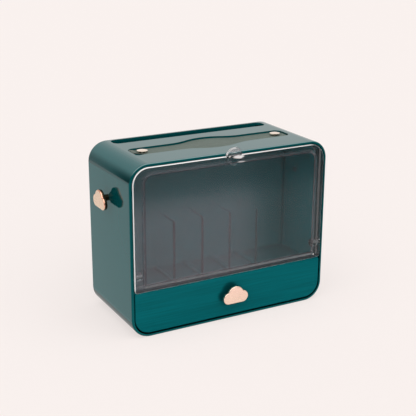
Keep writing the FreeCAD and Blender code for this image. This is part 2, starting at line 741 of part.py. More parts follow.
def drawer_tray():
    """Open-topped box of the drawer."""
    body = new_body("DrawerTray")
    outer = rounded(TRAY_HALF, DRAWER_BOTTOM, TRAY_TOP, "tray_corner", "tray_wall / 2")
    pad(body, sketch_of(body, "XZ_Plane", f"-{TRAY_BACK}", [outer]), f"{TRAY_BACK} - {TRAY_FRONT}")
    room = rounded(
        f"({TRAY_HALF} - tray_wall)", f"({DRAWER_BOTTOM} + tray_wall)", f"({TRAY_TOP} + tray_wall)",
        "(tray_corner - tray_wall)", "tray_wall / 2",
    )
    sketch = sketch_of(body, "XZ_Plane", f"-({TRAY_FRONT} + tray_wall)", [room])
    pocket(body, sketch, f"{TRAY_BACK} - {TRAY_FRONT} - 2 * tray_wall")
    hole = "(screw_diameter / 2 + screw_hole_gap)"
    holes = [(across, height, hole) for across, height in FRONT_SCREW_PLACES]
    holes.append(("0", KNOB_SCREW_HEIGHT, "(fitting_screw_diameter / 2 + screw_hole_gap)"))
    sketch = sketch_of(body, "XZ_Plane", f"-{TRAY_FRONT}", circles=holes)
    pocket(body, sketch, "tray_wall")
    return keep(body, "drawer_tray")


def tangent_circle(first, second, radius):
    """Centre of the upper one of the two circles that touch two given circles from outside."""
    (x_one, y_one, r_one), (x_two, y_two, r_two) = first, second
    span = math.hypot(x_two - x_one, y_two - y_one)
    reach_one, reach_two = r_one + radius, r_two + radius
    along = (reach_one ** 2 - reach_two ** 2 + span ** 2) / (2 * span)
    aside = math.sqrt(reach_one ** 2 - along ** 2)
    line = FreeCAD.Vector(x_two - x_one, y_two - y_one, 0) / span
    across = FreeCAD.Vector(-line.y, line.x, 0)
    foot = FreeCAD.Vector(x_one, y_one, 0) + line * along
    return max(foot + across * aside, foot - across * aside, key=lambda point: point.y)


def add_cloud(sketch):
    """Cloud outline: a flat lower edge and three lobes joined by small hollows, all tangent."""
    lobes = [
        ("cloud_right_offset", "cloud_right_radius", "cloud_right_radius"),
        ("cloud_top_offset", "(cloud_height - cloud_top_radius)", "cloud_top_radius"),
        ("-cloud_left_offset", "cloud_left_radius", "cloud_left_radius"),
    ]
    circles = [tuple(number(text) for text in lobe) for lobe in lobes]
    valley = number("cloud_valley_radius")
    valleys = [tangent_circle(circles[i], circles[i + 1], valley) for i in (0, 1)]
    axis = FreeCAD.Vector(0, 0, 1)

    def angle(centre, target):
        """Direction from one point to another."""
        return math.atan2(target.y - centre.y, target.x - centre.x)

    centres = [FreeCAD.Vector(x, y, 0) for x, y, _ in circles]
    down = -math.pi / 2
    lobe_angles = [
        (down, angle(centres[0], valleys[0])),
        (angle(centres[1], valleys[0]), angle(centres[1], valleys[1])),
        (angle(centres[2], valleys[1]), down),
    ]
    shapes = []
    for centre, (_, _, radius), angles in zip(centres, circles, lobe_angles):
        arc = Part.ArcOfCircle(Part.Circle(centre, axis, radius), *angles)
        shapes.append(sketch.addGeometry(arc, False))
    hollows = []
    for index, centre in enumerate(valleys):
        angles = (angle(centre, centres[index + 1]), angle(centre, centres[index]))
        arc = Part.ArcOfCircle(Part.Circle(centre, axis, valley), *angles)
        hollows.append(sketch.addGeometry(arc, False))
    base = sketch.addGeometry(
        Part.LineSegment(FreeCAD.Vector(centres[2].x, 0, 0), FreeCAD.Vector(centres[0].x, 0, 0)), False,
    )
    for shape, (x, y, radius) in zip(shapes, lobes):
        fix_point(sketch, shape, 3, x, y)
        dimension(sketch, Sketcher.Constraint("Radius", shape, number(radius)), radius)
    for hollow in hollows:
        dimension(sketch, Sketcher.Constraint("Radius", hollow, valley), "cloud_valley_radius")
    for first, first_end, second, second_end in (
        (base, 2, shapes[0], 1),
        (shapes[0], 2, hollows[0], 2),
        (hollows[0], 1, shapes[1], 1),
        (shapes[1], 2, hollows[1], 2),
        (hollows[1], 1, shapes[2], 1),
        (shapes[2], 2, base, 1),
    ):
        sketch.addConstraint(Sketcher.Constraint("Tangent", first, first_end, second, second_end))


def cloud_fitting(node, post_length):
    """Cloud-shaped casting on a round post, with the post's foot at the origin and the face to the front."""
    body = new_body("CloudFitting")
    sketch = new_sketch(body, "XZ_Plane", post_length)
    add_cloud(sketch)
    bind(sketch, AttachmentOffset__Base__y="-cloud_post_height")
    pad(body, sketch, "cloud_thickness")
    rims = plane_edges("Y", f"-{post_length}", f"-({post_length} + cloud_thickness)")
    round_edges(body, "cloud_edge_round", rims)
    post = sketch_of(body, "XZ_Plane", "0", circles=[("0", "0", "post_diameter / 2")])
    pad(body, post, f"{post_length} + cloud_edge_round")
    bore = sketch_of(body, "XZ_Plane", "0", circles=[("0", "0", "fitting_screw_diameter / 2")])
    pocket(body, bore, "fitting_screw_bite + screw_end_room", reverse=True)
    return keep(body, node)


def drawer_knob():
    """Cloud knob in the middle of the drawer front."""
    return place(cloud_fitting("drawer_knob", "knob_post_length"), "0", FRONT, KNOB_SCREW_HEIGHT)


def side_hook(side):
    """Cloud hook on one side of the shell."""
    sign = SIDES[side]
    hook = cloud_fitting(f"{side}_hook", "hook_post_length")
    turn = -90 if side == "left" else 90
    wall = f"{sign} * case_width / 2"
    return place(hook, wall, "hook_depth", HOOK_SCREW_HEIGHT, axis=(0, 0, 1), angle=turn)


def screw(diameter, length, head_diameter, head_height):
    """Pan-head screw on +Z: the shank below the origin and the head above it."""
    shank = bind(doc.addObject("Part::Cylinder", "Shank"), Radius=f"{diameter} / 2", Height=length)
    place(shank, z=f"-{length}")
    head = bind(doc.addObject("Part::Cylinder", "Head"), Radius=f"{head_diameter} / 2", Height=head_height)
    whole = doc.addObject("Part::Fuse", "Screw")
    whole.Base = head
    whole.Tool = shank
    return whole


def screw_group(node, length, places, depth, angle):
    """Group of small screws along Y, all with their heads seated at one depth."""
    group = doc.addObject("Part::Compound", "ScrewGroup")
    members = []
    for across, height in places:
        one = screw("screw_diameter", length, "screw_head_diameter", "screw_head_height")
        members.append(place(one, across, depth, height, axis=(1, 0, 0), angle=angle))
    group.Links = members
    return keep(group, node)


def fitting_screw(node, grip, x, y, z, axis, angle):
    """Screw of a cloud fitting: it passes what it grips and bites into the post."""
    one = screw(
        "fitting_screw_diameter", f"({grip} + fitting_screw_bite)",
        "fitting_screw_head_diameter", "fitting_screw_head_height",
    )
    return keep(place(one, x, y, z, axis=axis, angle=angle), node)


def carry_strap():
    """Leather strap that lies in the recess, with a hole for each stud."""
    body = new_body("CarryStrap")
    outline = strap_outline("(-strap_gap)")
    pad(body, sketch_of(body, "XY_Plane", STRAP_BOTTOM, [outline]), "strap_thickness")
    round_edges(body, "strap_edge_round", plane_edges("Z", STRAP_TOP))
    holes = [
        (f"{sign} * {STUD_OFFSET}", "-recess_centre", "(stud_shank_diameter / 2 + strap_hole_gap)")
        for sign in SIDES.values()
    ]
    pocket(body, sketch_of(body, "XY_Plane", STRAP_TOP, circles=holes), "strap_thickness")
    return keep(body, "carry_strap")


def strap_stud(side):
    """Stud with a low dome on a neck, and a shank that passes the strap and the recess floor."""
    body = new_body("StrapStud")
    head = "(stud_head_diameter / 2)"
    dome = f"(({head} ^ 2 + stud_dome_rise ^ 2) / (2 * stud_dome_rise))"
    rim = "(stud_neck_height + stud_rim_height)"
    tail = f"({STUD_SEAT} - {NUT_TOP} + nut_height + stud_tail)"
    profile = [
        ("0", f"-{tail}"),
        ("stud_shank_diameter / 2", f"-{tail}"),
        ("stud_shank_diameter / 2", "0"),
        ("stud_neck_diameter / 2", "0"),
        ("stud_neck_diameter / 2", "stud_neck_height"),
        (head, "stud_neck_height"),
        (head, rim, dome, 1),
        ("0", f"{rim} + stud_dome_rise"),
    ]
    sketch = sketch_of(body, "XZ_Plane", "0", [profile])
    turned = body.newObject("PartDesign::Revolution", "Revolution")
    turned.Profile = sketch
    turned.ReferenceAxis = (sketch, ["V_Axis"])
    turned.Angle = 360
    place(body, f"{SIDES[side]} * {STUD_OFFSET}", "-recess_centre", STUD_SEAT)
    return keep(body, f"{side}_strap_stud")


def strap_nut(side):
    """Hexagon nut under the recess floor."""
    prism = doc.addObject("Part::Prism", "Hexagon")
    prism.Polygon = 6
    bind(prism, Circumradius="nut_across_corners / 2", Height="nut_height")
    bore = doc.addObject("Part::Cylinder", "Bore")
    bind(bore, Radius="stud_shank_diameter / 2", Height="nut_height")
    nut = doc.addObject("Part::Cut", "Nut")
    nut.Base = prism
    nut.Tool = bore
    place(nut, f"{SIDES[side]} * {STUD_OFFSET}", "-recess_centre", f"{NUT_TOP} - nut_height")
    return keep(nut, f"{side}_strap_nut")


def build():
    """Make every sub-part."""
    outer_shell()
    back_panel()
    screw_group("back_panel_screws", "back_screw_length", BACK_SCREW_PLACES, PANEL_BACK, -90)
    mid_shelf()
    inner_back_wall()
    for node, across in DIVIDER_PLACES.items():
        divider(node, across)
    flip_lid()
    drawer_front()
    drawer_tray()
    tray_inside = f"({TRAY_FRONT} + tray_wall)"
    screw_group("drawer_front_screws", "front_screw_length", FRONT_SCREW_PLACES, tray_inside, -90)
    drawer_knob()
    knob_grip = "(drawer_front_thickness + tray_wall)"
    fitting_screw("drawer_knob_screw", knob_grip, "0", tray_inside, KNOB_SCREW_HEIGHT, (1, 0, 0), -90)
    carry_strap()
    for side, sign in SIDES.items():
        lid_pin(side)
        side_hook(side)
        inner_face = f"{sign} * {INNER_HALF}"
        turn = 90 if side == "left" else -90
        where = (inner_face, "hook_depth", HOOK_SCREW_HEIGHT)
        fitting_screw(f"{side}_hook_screw", "shell_wall", *where, (0, 1, 0), turn)
        strap_stud(side)
        strap_nut(side)
    doc.recompute()


def check():
    """Stop if any object failed or any sub-part has no sound shape."""
    failed = [item.Label for item in doc.Objects if {"Invalid", "Error"} & set(item.State)]
    unsound = [item.Label for item in sub_parts if item.Shape.isNull() or not item.Shape.isValid()]
    if failed or unsound:
        raise RuntimeError(f"Failed objects: {failed}; unsound shapes: {unsound}")


def write():
    """Write one file for each sub-part."""
    os.makedirs("parts", exist_ok=True)
    for item in sub_parts:
        item.Shape.exportStep(f"parts/{item.Label}.step")
        print(f"{item.Label}: {len(item.Shape.Solids)} solids, {item.Shape.Volume / 1000:.2f} cm3")


build()
check()
write()
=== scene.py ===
"""Looks of a cosmetic organizer box: finishes, strap, screws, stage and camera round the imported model.

Lengths are metres in the CAD frame: X runs left to right, Y from front to back, Z up from the table.
"""
import logging
import math
from dataclasses import dataclass
from enum import Enum
from typing import Any, Callable, Dict, List, Optional, Sequence, Tuple, Union

import bmesh
import bpy
from mathutils import Matrix, Vector


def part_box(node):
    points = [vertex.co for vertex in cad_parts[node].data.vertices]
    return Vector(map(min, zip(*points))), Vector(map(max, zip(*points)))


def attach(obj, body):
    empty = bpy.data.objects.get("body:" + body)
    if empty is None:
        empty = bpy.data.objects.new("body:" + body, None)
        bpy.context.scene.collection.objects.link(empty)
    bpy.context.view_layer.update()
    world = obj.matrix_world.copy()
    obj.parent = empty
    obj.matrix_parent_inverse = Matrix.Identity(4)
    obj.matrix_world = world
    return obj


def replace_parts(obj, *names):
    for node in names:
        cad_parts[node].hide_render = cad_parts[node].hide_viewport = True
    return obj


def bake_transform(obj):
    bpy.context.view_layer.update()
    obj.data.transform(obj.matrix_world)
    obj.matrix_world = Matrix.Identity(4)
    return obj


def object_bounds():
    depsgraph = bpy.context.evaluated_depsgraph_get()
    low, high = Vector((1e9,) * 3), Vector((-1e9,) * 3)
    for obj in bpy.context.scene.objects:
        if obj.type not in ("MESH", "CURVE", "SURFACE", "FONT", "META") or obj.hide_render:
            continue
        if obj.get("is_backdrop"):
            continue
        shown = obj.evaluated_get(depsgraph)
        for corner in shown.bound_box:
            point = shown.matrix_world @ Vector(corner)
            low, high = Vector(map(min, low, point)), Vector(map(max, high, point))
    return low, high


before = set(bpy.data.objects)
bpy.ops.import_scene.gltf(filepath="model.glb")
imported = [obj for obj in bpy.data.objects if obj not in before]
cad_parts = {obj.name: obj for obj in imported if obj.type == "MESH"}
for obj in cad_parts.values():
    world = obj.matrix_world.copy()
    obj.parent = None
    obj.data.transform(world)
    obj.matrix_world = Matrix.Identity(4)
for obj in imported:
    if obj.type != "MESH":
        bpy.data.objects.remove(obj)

LOG = logging.getLogger("organizer_box")
NODES: Dict[str, bpy.types.Object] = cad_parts
Span = Tuple[float, float]
Point = Tuple[float, float, float]
Colour = Tuple[float, float, float]
Fade = Tuple[float, float, float]
Tint = Tuple[Colour, float]
Outline = Tuple[float, float, float, float, float]
Glint = Tuple[float, float, float, float, float]
Level = Tuple[Span, Span, float]
Upright = Tuple[Span, float, Span]


def plain_bounds() -> List[List[float]]:
    """Box of everything that shows, as plain lists of its lowest and highest corners."""
    bpy.context.view_layer.update()
    return [[float(value) for value in corner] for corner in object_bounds()]


CAD_BOX = plain_bounds()


class Body(Enum):
    """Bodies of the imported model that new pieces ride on."""

    CASE = "case"
    DRAWER = "drawer"
    STRAP = "strap"


class Signal:
    """One output socket, with arithmetic that adds Math nodes to its tree."""

    def __init__(self, board: "Board", socket: bpy.types.NodeSocket) -> None:
        """Keeps the socket and the board that it belongs to."""
        self.board = board
        self.socket = socket

    def out(self, key: Union[str, int]) -> "Signal":
        """Another output of the same node."""
        return Signal(self.board, self.socket.node.outputs[key])

    @property
    def x(self) -> "Signal":
        """First part of a split vector."""
        return self.out("X")

    @property
    def y(self) -> "Signal":
        """Second part of a split vector."""
        return self.out("Y")

    @property
    def z(self) -> "Signal":
        """Third part of a split vector."""
        return self.out("Z")

    def math(self, operation: str, *others: Any, swap: bool = False) -> "Signal":
        """Applies one Math operation, with this signal second where swap is set."""
        terms = [*others, self] if swap else [self, *others]
        return self.board.node("ShaderNodeMath", {"operation": operation}, dict(enumerate(terms)))

    def __add__(self, other: Any) -> "Signal":
        """Sum."""
        return self.math("ADD", other)

    __radd__ = __add__

    def __mul__(self, other: Any) -> "Signal":
        """Product."""
        return self.math("MULTIPLY", other)

    __rmul__ = __mul__

    def __sub__(self, other: Any) -> "Signal":
        """Difference."""
        return self.math("SUBTRACT", other)

    def __rsub__(self, other: Any) -> "Signal":
        """Difference with this signal taken away."""
        return self.math("SUBTRACT", other, swap=True)

    def __truediv__(self, other: Any) -> "Signal":
        """Quotient."""
        return self.math("DIVIDE", other)

    def __pow__(self, other: Any) -> "Signal":
        """Power."""
        return self.math("POWER", other)

    def __neg__(self) -> "Signal":
        """The value with its sign turned."""
        return self * -1.0

    def __abs__(self) -> "Signal":
        """The value without its sign."""
        return self.math("ABSOLUTE")

    def most(self, other: Any) -> "Signal":
        """The larger of two values."""
        return self.math("MAXIMUM", other)

    def length(self, other: "Signal") -> "Signal":
        """Length of the vector that two values make."""
        return (self * self + other * other).math("SQRT")

    def swing(self, spread: float) -> "Signal":
        """A pattern from 0 to 1 as a swing about 0 that is spread wide."""
        return (self - 0.5) * spread

    def rise(self, low: float, high: float) -> "Signal":
        """Smooth step from 0 at low to 1 at high."""
        inputs = {"Value": self, "From Min": low, "From Max": high}
        return self.board.node("ShaderNodeMapRange", {"interpolation_type": "SMOOTHSTEP"}, inputs)

    def fall(self, low: float, high: float) -> "Signal":
        """Smooth step from 1 at low to 0 at high."""
        return 1.0 - self.rise(low, high)


class Board:
    """A node tree that is written as expressions."""

    def __init__(self, tree: bpy.types.NodeTree) -> None:
        """Takes over a tree and empties it."""
        self.tree = tree
        tree.nodes.clear()

    def node(
        self,
        kind: str,
        settings: Optional[Dict[str, Any]] = None,
        inputs: Optional[Dict[Union[str, int], Any]] = None,
        output: Union[str, int] = 0,
    ) -> Signal:
        """Adds one node.

        Args:
            kind: Type of the node.
            settings: Properties that are set first.
            inputs: Values or signals by the input's name or number.
            output: Name or number of the output to give back.

        Returns:
            The chosen output, or the first input of a node that has no outputs.
        """
        made = self.tree.nodes.new(kind)
        for key, value in (settings or {}).items():
            setattr(made, key, value)
        for key, value in (inputs or {}).items():
            if isinstance(value, Signal):
                self.tree.links.new(value.socket, made.inputs[key])
            else:
                made.inputs[key].default_value = value
        if not made.outputs:
            return Signal(self, made.inputs[0])
        return Signal(self, made.outputs[output])

    def place(self, stretch: Point = (1.0, 1.0, 1.0)) -> Signal:
        """Object coordinates, stretched for a pattern with a grain."""
        where = self.node("ShaderNodeTexCoord", output="Object")
        return self.node("ShaderNodeMapping", {}, {"Vector": where, "Scale": stretch})

    def split(self, vector: Signal) -> Signal:
        """A vector's parts."""
        return self.node("ShaderNodeSeparateXYZ", {}, {0: vector})

    def spot(self) -> Signal:
        """Object coordinates, split."""
        return self.split(self.place())

    def facing(self) -> Signal:
        """The normal, split."""
        return self.split(self.node("ShaderNodeTexCoord", output="Normal"))

    def joined(self, x: Any = 0.0, y: Any = 0.0, z: Any = 0.0) -> Signal:
        """A vector of three parts."""
        return self.node("ShaderNodeCombineXYZ", {}, {"X": x, "Y": y, "Z": z})

    def noise(self, where: Signal, scale: float = 1.0, detail: float = 2.0, roughness: float = 0.5) -> Signal:
        """Noise from 0 to 1, with its waves in a metre, its octaves and the strength of the finer ones."""
        inputs = {"Vector": where, "Scale": scale, "Detail": detail, "Roughness": roughness}
        return self.node("ShaderNodeTexNoise", {}, inputs)

    def mix(self, share: Any, first: Any, second: Any) -> Signal:
        """Two colours mixed, the second by its share."""
        inputs = {0: share, 6: first, 7: second}
        return self.node("ShaderNodeMix", {"data_type": "RGBA"}, inputs, output=2)

    def tone(self, pattern: Signal, colour: Colour, low: float, high: float = 1.0) -> Signal:
        """A colour whose strength follows a pattern from low to high."""
        return self.mix(pattern, rgba(colour, low), rgba(colour, high))

    def bump(self, height: Signal, depth: float, strength: float) -> Signal:
        """Normal of a raised pattern whose full range is depth."""
        return self.node("ShaderNodeBump", {}, {"Height": height, "Distance": depth, "Strength": strength})

    def shader(self, inputs: Dict[str, Any]) -> Signal:
        """A Principled shader."""
        return self.node("ShaderNodeBsdfPrincipled", {}, inputs)

    def over(self, share: Signal, first: Signal, second: Signal) -> Signal:
        """Two shaders mixed, the second by its share."""
        return self.node("ShaderNodeMixShader", {}, {0: share, 1: first, 2: second})

    def end(self, surface: Signal, kind: str = "Material") -> None:
        """Puts a shader on the output of a material or a world."""
        self.node("ShaderNodeOutput" + kind, {}, {"Surface": surface})


def rgba(colour: Colour, gain: float = 1.0) -> Tuple[float, float, float, float]:
    """A colour with its gain applied and full alpha."""
    return (colour[0] * gain, colour[1] * gain, colour[2] * gain, 1.0)


def board_of(holder: Union[bpy.types.Material, bpy.types.World]) -> Board:
    """Turns on the nodes of a material or a world and takes them over."""
    holder.use_nodes = True
    return Board(holder.node_tree)


def linked(name: str, data: bpy.types.ID) -> bpy.types.Object:
    """Makes an object and puts it in the scene.

    Args:
        name: The object's name.
        data: Its mesh, light or camera.

    Returns:
        The object.
    """
    made = bpy.data.objects.new(name, data)
    bpy.context.scene.collection.objects.link(made)
    return made


@dataclass(frozen=True)
class Finish:
    """A surface finish: its material is made once and shared.

    name is the material's name, slot the record's material slot that it stands for, and gains the least and
    the greatest strength of its colour. A node whose finish lets light through casts no shadow.
    """

    name: str
    slot: str
    colour: Colour
    roughness: float
    gains: Span = (0.90, 1.10)
    lets_light_through = False

    def material(self) -> bpy.types.Material:
        """Gives the finish's material, made at its first use.

        Returns:
            The material.
        """
        known = bpy.data.materials.get(self.name)
        if known:
            return known
        made = bpy.data.materials.new(self.name)
        board = board_of(made)
        board.end(self.surface(board))
        return made

    def surface(self, board: Board) -> Signal:
        """The finish's shader."""
        return board.shader(self.sockets(board))

    def sockets(self, board: Board) -> Dict[str, Any]:
        """Inputs of the finish's shader; each kind of finish has its own."""
        raise NotImplementedError(self.name)

    def dress(self, *names: str) -> None:
        """Puts the finish on CAD nodes.

        Args:
            names: The nodes.
        """
        for name in names:
            NODES[name].visible_shadow = not self.lets_light_through
            mesh = NODES[name].data
            mesh.materials.clear()
            mesh.materials.append(self.material())
            LOG.info("%s: %s", name, self.name)


@dataclass(frozen=True)
class GlossMoulding(Finish):
    """Glossy moulded ABS: deep colour, a clear lacquer-like skin and a faint orange peel.

    Painted shade darkens the colour and thins the skin round the front opening: inside the gaps, on the lip
    beside the lid, and where the corners meet the lip. The sides are painted darker as shade. The walls of
    the upper compartment are satin and painted lighter as light on them, and the top's front edge has a
    painted highlight along its crest.
    """

    gains: Span = (0.92, 1.08)
    clouds: float = 9.0
    specks: float = 900.0
    peel: float = 260.0
    peel_depth: float = 0.00003
    gloss_spread: float = 0.10
    top_coat: float = 1.0
    side_coat: float = 0.66
    front_coat: float = 0.12
    middle: float = 0.111
    turned_in: Span = (0.01, 0.06)
    room_top: Span = (0.208, 0.212)
    room_front: Span = (-0.048, -0.044)
    room_back: Span = (0.034, 0.037)
    # colour of the satin walls inside, painted lighter as light on them
    inside: Colour = (0.0060, 0.175, 0.195)
    # painted shade round the front opening: in the gaps, on the lip and where the corners meet it
    gap_shade: float = 0.90
    gap_reach: Span = (0.048, 0.058)
    lip_shade: float = 0.36
    lip_turn: Span = (0.6, 0.95)
    lip_height: Span = (0.03, 0.09)
    corner_shade: float = 0.55
    corner_start: Span = (0.13, 0.18)
    corner_end: Span = (0.25, 0.70)
    corner_side: Span = (0.3, 0.7)
    corner_reach: Span = (0.0, 0.066)
    shade_gain: float = 0.05
    # painted shade: faces turned to the side are darker
    side_turn: Span = (0.75, 0.98)
    side_shade: float = 0.40
    side_gain: float = 0.02
    # painted highlight along the crest of the top's front edge
    crest: Tint = ((0.30, 0.38, 0.385), 0.55)
    crest_start: Span = (0.30, 0.45)
    crest_end: Span = (0.70, 0.85)
    crest_rise: Span = (0.4, 0.6)

    def masks(self, board: Board, facing: Signal) -> Tuple[Signal, Signal]:
        """Gives the shares of the painted shade round the front opening and of the satin walls inside, which
        are painted lighter.

        Args:
            board: The material's board.
            facing: The split normal.

        Returns:
            Both shares, from 0 to 1.
        """
        spot = board.spot()
        forward, up = -spot.y, facing.z
        inward = (-(facing.x * spot.x + up * (spot.z - self.middle))).rise(*self.turned_in)
        walls = inward * spot.z.fall(*self.room_top)
        walls = walls * spot.y.rise(*self.room_front) * spot.y.fall(*self.room_back)
        gap = inward * forward.rise(*self.gap_reach)
        lip = (-facing.y).rise(*self.lip_turn) * spot.z.rise(*self.lip_height)
        corner = up.rise(*self.corner_start) * up.fall(*self.corner_end)
        corner = corner * abs(facing.x).rise(*self.corner_side) * forward.rise(*self.corner_reach)
        clear = (1.0 - gap * self.gap_shade) * (1.0 - lip * self.lip_shade)
        return 1.0 - clear * (1.0 - corner * self.corner_shade), walls

    def sockets(self, board: Board) -> Dict[str, Any]:
        """Deep teal under a coat that is fullest on the top and thinnest on the front edge, with painted
        shade and a painted highlight.

        Args:
            board: The material's board.

        Returns:
            The shader's inputs.
        """
        where, facing = board.place(), board.facing()
        front, side = (-facing.y).most(0.0), abs(facing.x)
        coat = self.top_coat - front * (self.top_coat - self.front_coat)
        coat = coat - side * (self.top_coat - self.side_coat)
        shade, walls = self.masks(board, facing)
        tone = board.tone(board.noise(where, self.clouds, detail=3.0), self.colour, *self.gains)
        # painted shade on the sides
        deep = side.rise(*self.side_turn) * self.side_shade
        tone = board.mix(deep, tone, rgba(self.colour, self.side_gain))
        # satin walls inside, painted lighter as light on them
        tone = board.mix(walls, tone, rgba(self.inside))
        # painted shade round the front opening
        tone = board.mix(shade, tone, rgba(self.colour, self.shade_gain))
        # painted highlight along the crest of the top's front edge
        pale, share = self.crest
        crest = front.rise(*self.crest_start) * front.fall(*self.crest_end)
        crest = crest * facing.z.rise(*self.crest_rise)
        return {
            "Base Color": board.mix(crest * share, tone, rgba(pale)),
            "Roughness": self.roughness + board.noise(where, self.specks).swing(self.gloss_spread),
            "Specular IOR Level": 0.0,
            "Coat Weight": coat * (1.0 - shade) * (1.0 - walls),
            "Coat Roughness": 0.03,
            "Coat IOR": 1.5,
            "Normal": board.bump(board.noise(where, self.peel), self.peel_depth, strength=0.35),
        }


@dataclass(frozen=True)
class StreakedMoulding(Finish):
    """Satin moulded plate with fine streaks from side to side, and painted shade behind its knob, for its
    contact shadow and its dark mirror image.

    The painted shade is soft discs, each with its middle across and up and its radius.
    """

    gains: Span = (0.80, 1.18)
    broad: Point = (5.0, 5.0, 60.0)
    fine: Point = (14.0, 14.0, 620.0)
    fine_share: float = 0.65
    specks: float = 1100.0
    streak_depth: float = 0.00004
    streak_ends: Span = (0.3, 0.7)
    gloss_spread: Span = (0.16, 0.06)
    # soft discs of painted shade behind the knob
    discs: Tuple[Point, ...] = (
        (-0.0122, 0.0332, 0.0076), (-0.0028, 0.0392, 0.0116), (0.0075, 0.0345, 0.0078),
    )
    disc_shade: float = 0.66
    disc_blur: Span = (0.0036, 0.0026)
    shade_gain: float = 0.05

    def knob_shade(self, board: Board) -> Signal:
        """Share of the painted shade behind the knob.

        Args:
            board: The material's board.

        Returns:
            The share, from 0 to 1.
        """
        spot = board.spot()
        clear: Any = 1.0
        for x, z, radius in self.discs:
            away = (spot.x - x).length(spot.z - z)
            clear = away.rise(radius - self.disc_blur[0], radius + self.disc_blur[1]) * clear
        return (1.0 - clear) * self.disc_shade

    def sockets(self, board: Board) -> Dict[str, Any]:
        """Teal with drawn-out streaks in colour, gloss and relief.

        Args:
            board: The material's board.

        Returns:
            The shader's inputs.
        """
        broad = board.noise(board.place(self.broad), detail=3.0)
        fine = board.noise(board.place(self.fine), detail=4.0, roughness=0.6)
        speck = board.noise(board.place(), self.specks, detail=1.0)
        streak = broad * (1.0 - self.fine_share) + fine * self.fine_share
        by_streak, by_speck = self.gloss_spread
        tone = board.tone(streak.rise(*self.streak_ends), self.colour, *self.gains)
        return {
            # painted shade behind the knob
            "Base Color": board.mix(self.knob_shade(board), tone, rgba(self.colour, self.shade_gain)),
            "Roughness": self.roughness + fine.swing(by_streak) + speck.swing(by_speck),
            "Specular IOR Level": 0.02,
            "Normal": board.bump(streak, self.streak_depth, strength=0.6),
        }


@dataclass(frozen=True)
class SatinMoulding(Finish):
    """Satin moulded inside face with a fine spark texture."""

    gains: Span = (0.88, 1.12)
    clouds: float = 14.0
    grain: float = 1500.0
    grain_depth: float = 0.00003
    gloss_spread: float = 0.12

    def sockets(self, board: Board) -> Dict[str, Any]:
        """Teal with slight clouds and a fine even grain.

        Args:
            board: The material's board.

        Returns:
            The shader's inputs.
        """
        where = board.place()
        grain = board.noise(where, self.grain)
        return {
            "Base Color": board.tone(board.noise(where, self.clouds, detail=3.0), self.colour, *self.gains),
            "Roughness": self.roughness + grain.swing(self.gloss_spread),
            "Specular IOR Level": 0.35,
            "Normal": board.bump(grain, self.grain_depth, strength=0.5),
        }


@dataclass(frozen=True)
class RailedShelf(SatinMoulding):
    """Satin moulded shelf whose rails are painted paler than its floor: painted light that offsets the shade
    along them.
    """

    rail_foot: Span = (0.0483, 0.0488)
    rail_light_gain: float = 1.75

    def sockets(self, board: Board) -> Dict[str, Any]:
        """The satin shelf with its rails painted paler as light.

        Args:
            board: The material's board.

        Returns:
            The shader's inputs.
        """
        given = super().sockets(board)
        # painted light on the rails
        rails = board.spot().z.rise(*self.rail_foot)
        given["Base Color"] = board.mix(rails, given["Base Color"], rgba(self.colour, self.rail_light_gain))
        return given


@dataclass(frozen=True)
class SmokyClear(Finish):
    """Smoke-tinted clear acrylic with faint moulding waves and handling haze."""

    gains: Span = (0.96, 1.04)
    ior: float = 1.49
    clouds: float = 7.0
    haze: float = 35.0
    waves: Point = (16.0, 16.0, 24.0)
    wave_depth: float = 0.00004
    haze_spread: float = 0.03
    lets_light_through = True

    def sockets(self, board: Board) -> Dict[str, Any]:
        """Clear grey with slightly uneven haze.

        Args:
            board: The material's board.

        Returns:
            The shader's inputs.
        """
        where = board.place()
        haze = board.noise(where, self.haze, detail=4.0, roughness=0.6)
        wave = board.noise(board.place(self.waves), detail=1.0)
        return {
            "Base Color": board.tone(board.noise(where, self.clouds), self.colour, *self.gains),
            "Roughness": self.roughness + haze * self.haze_spread,
            "Transmission Weight": 1.0,
            "IOR": self.ior,
            "Normal": board.bump(wave, self.wave_depth, strength=0.3),
        }


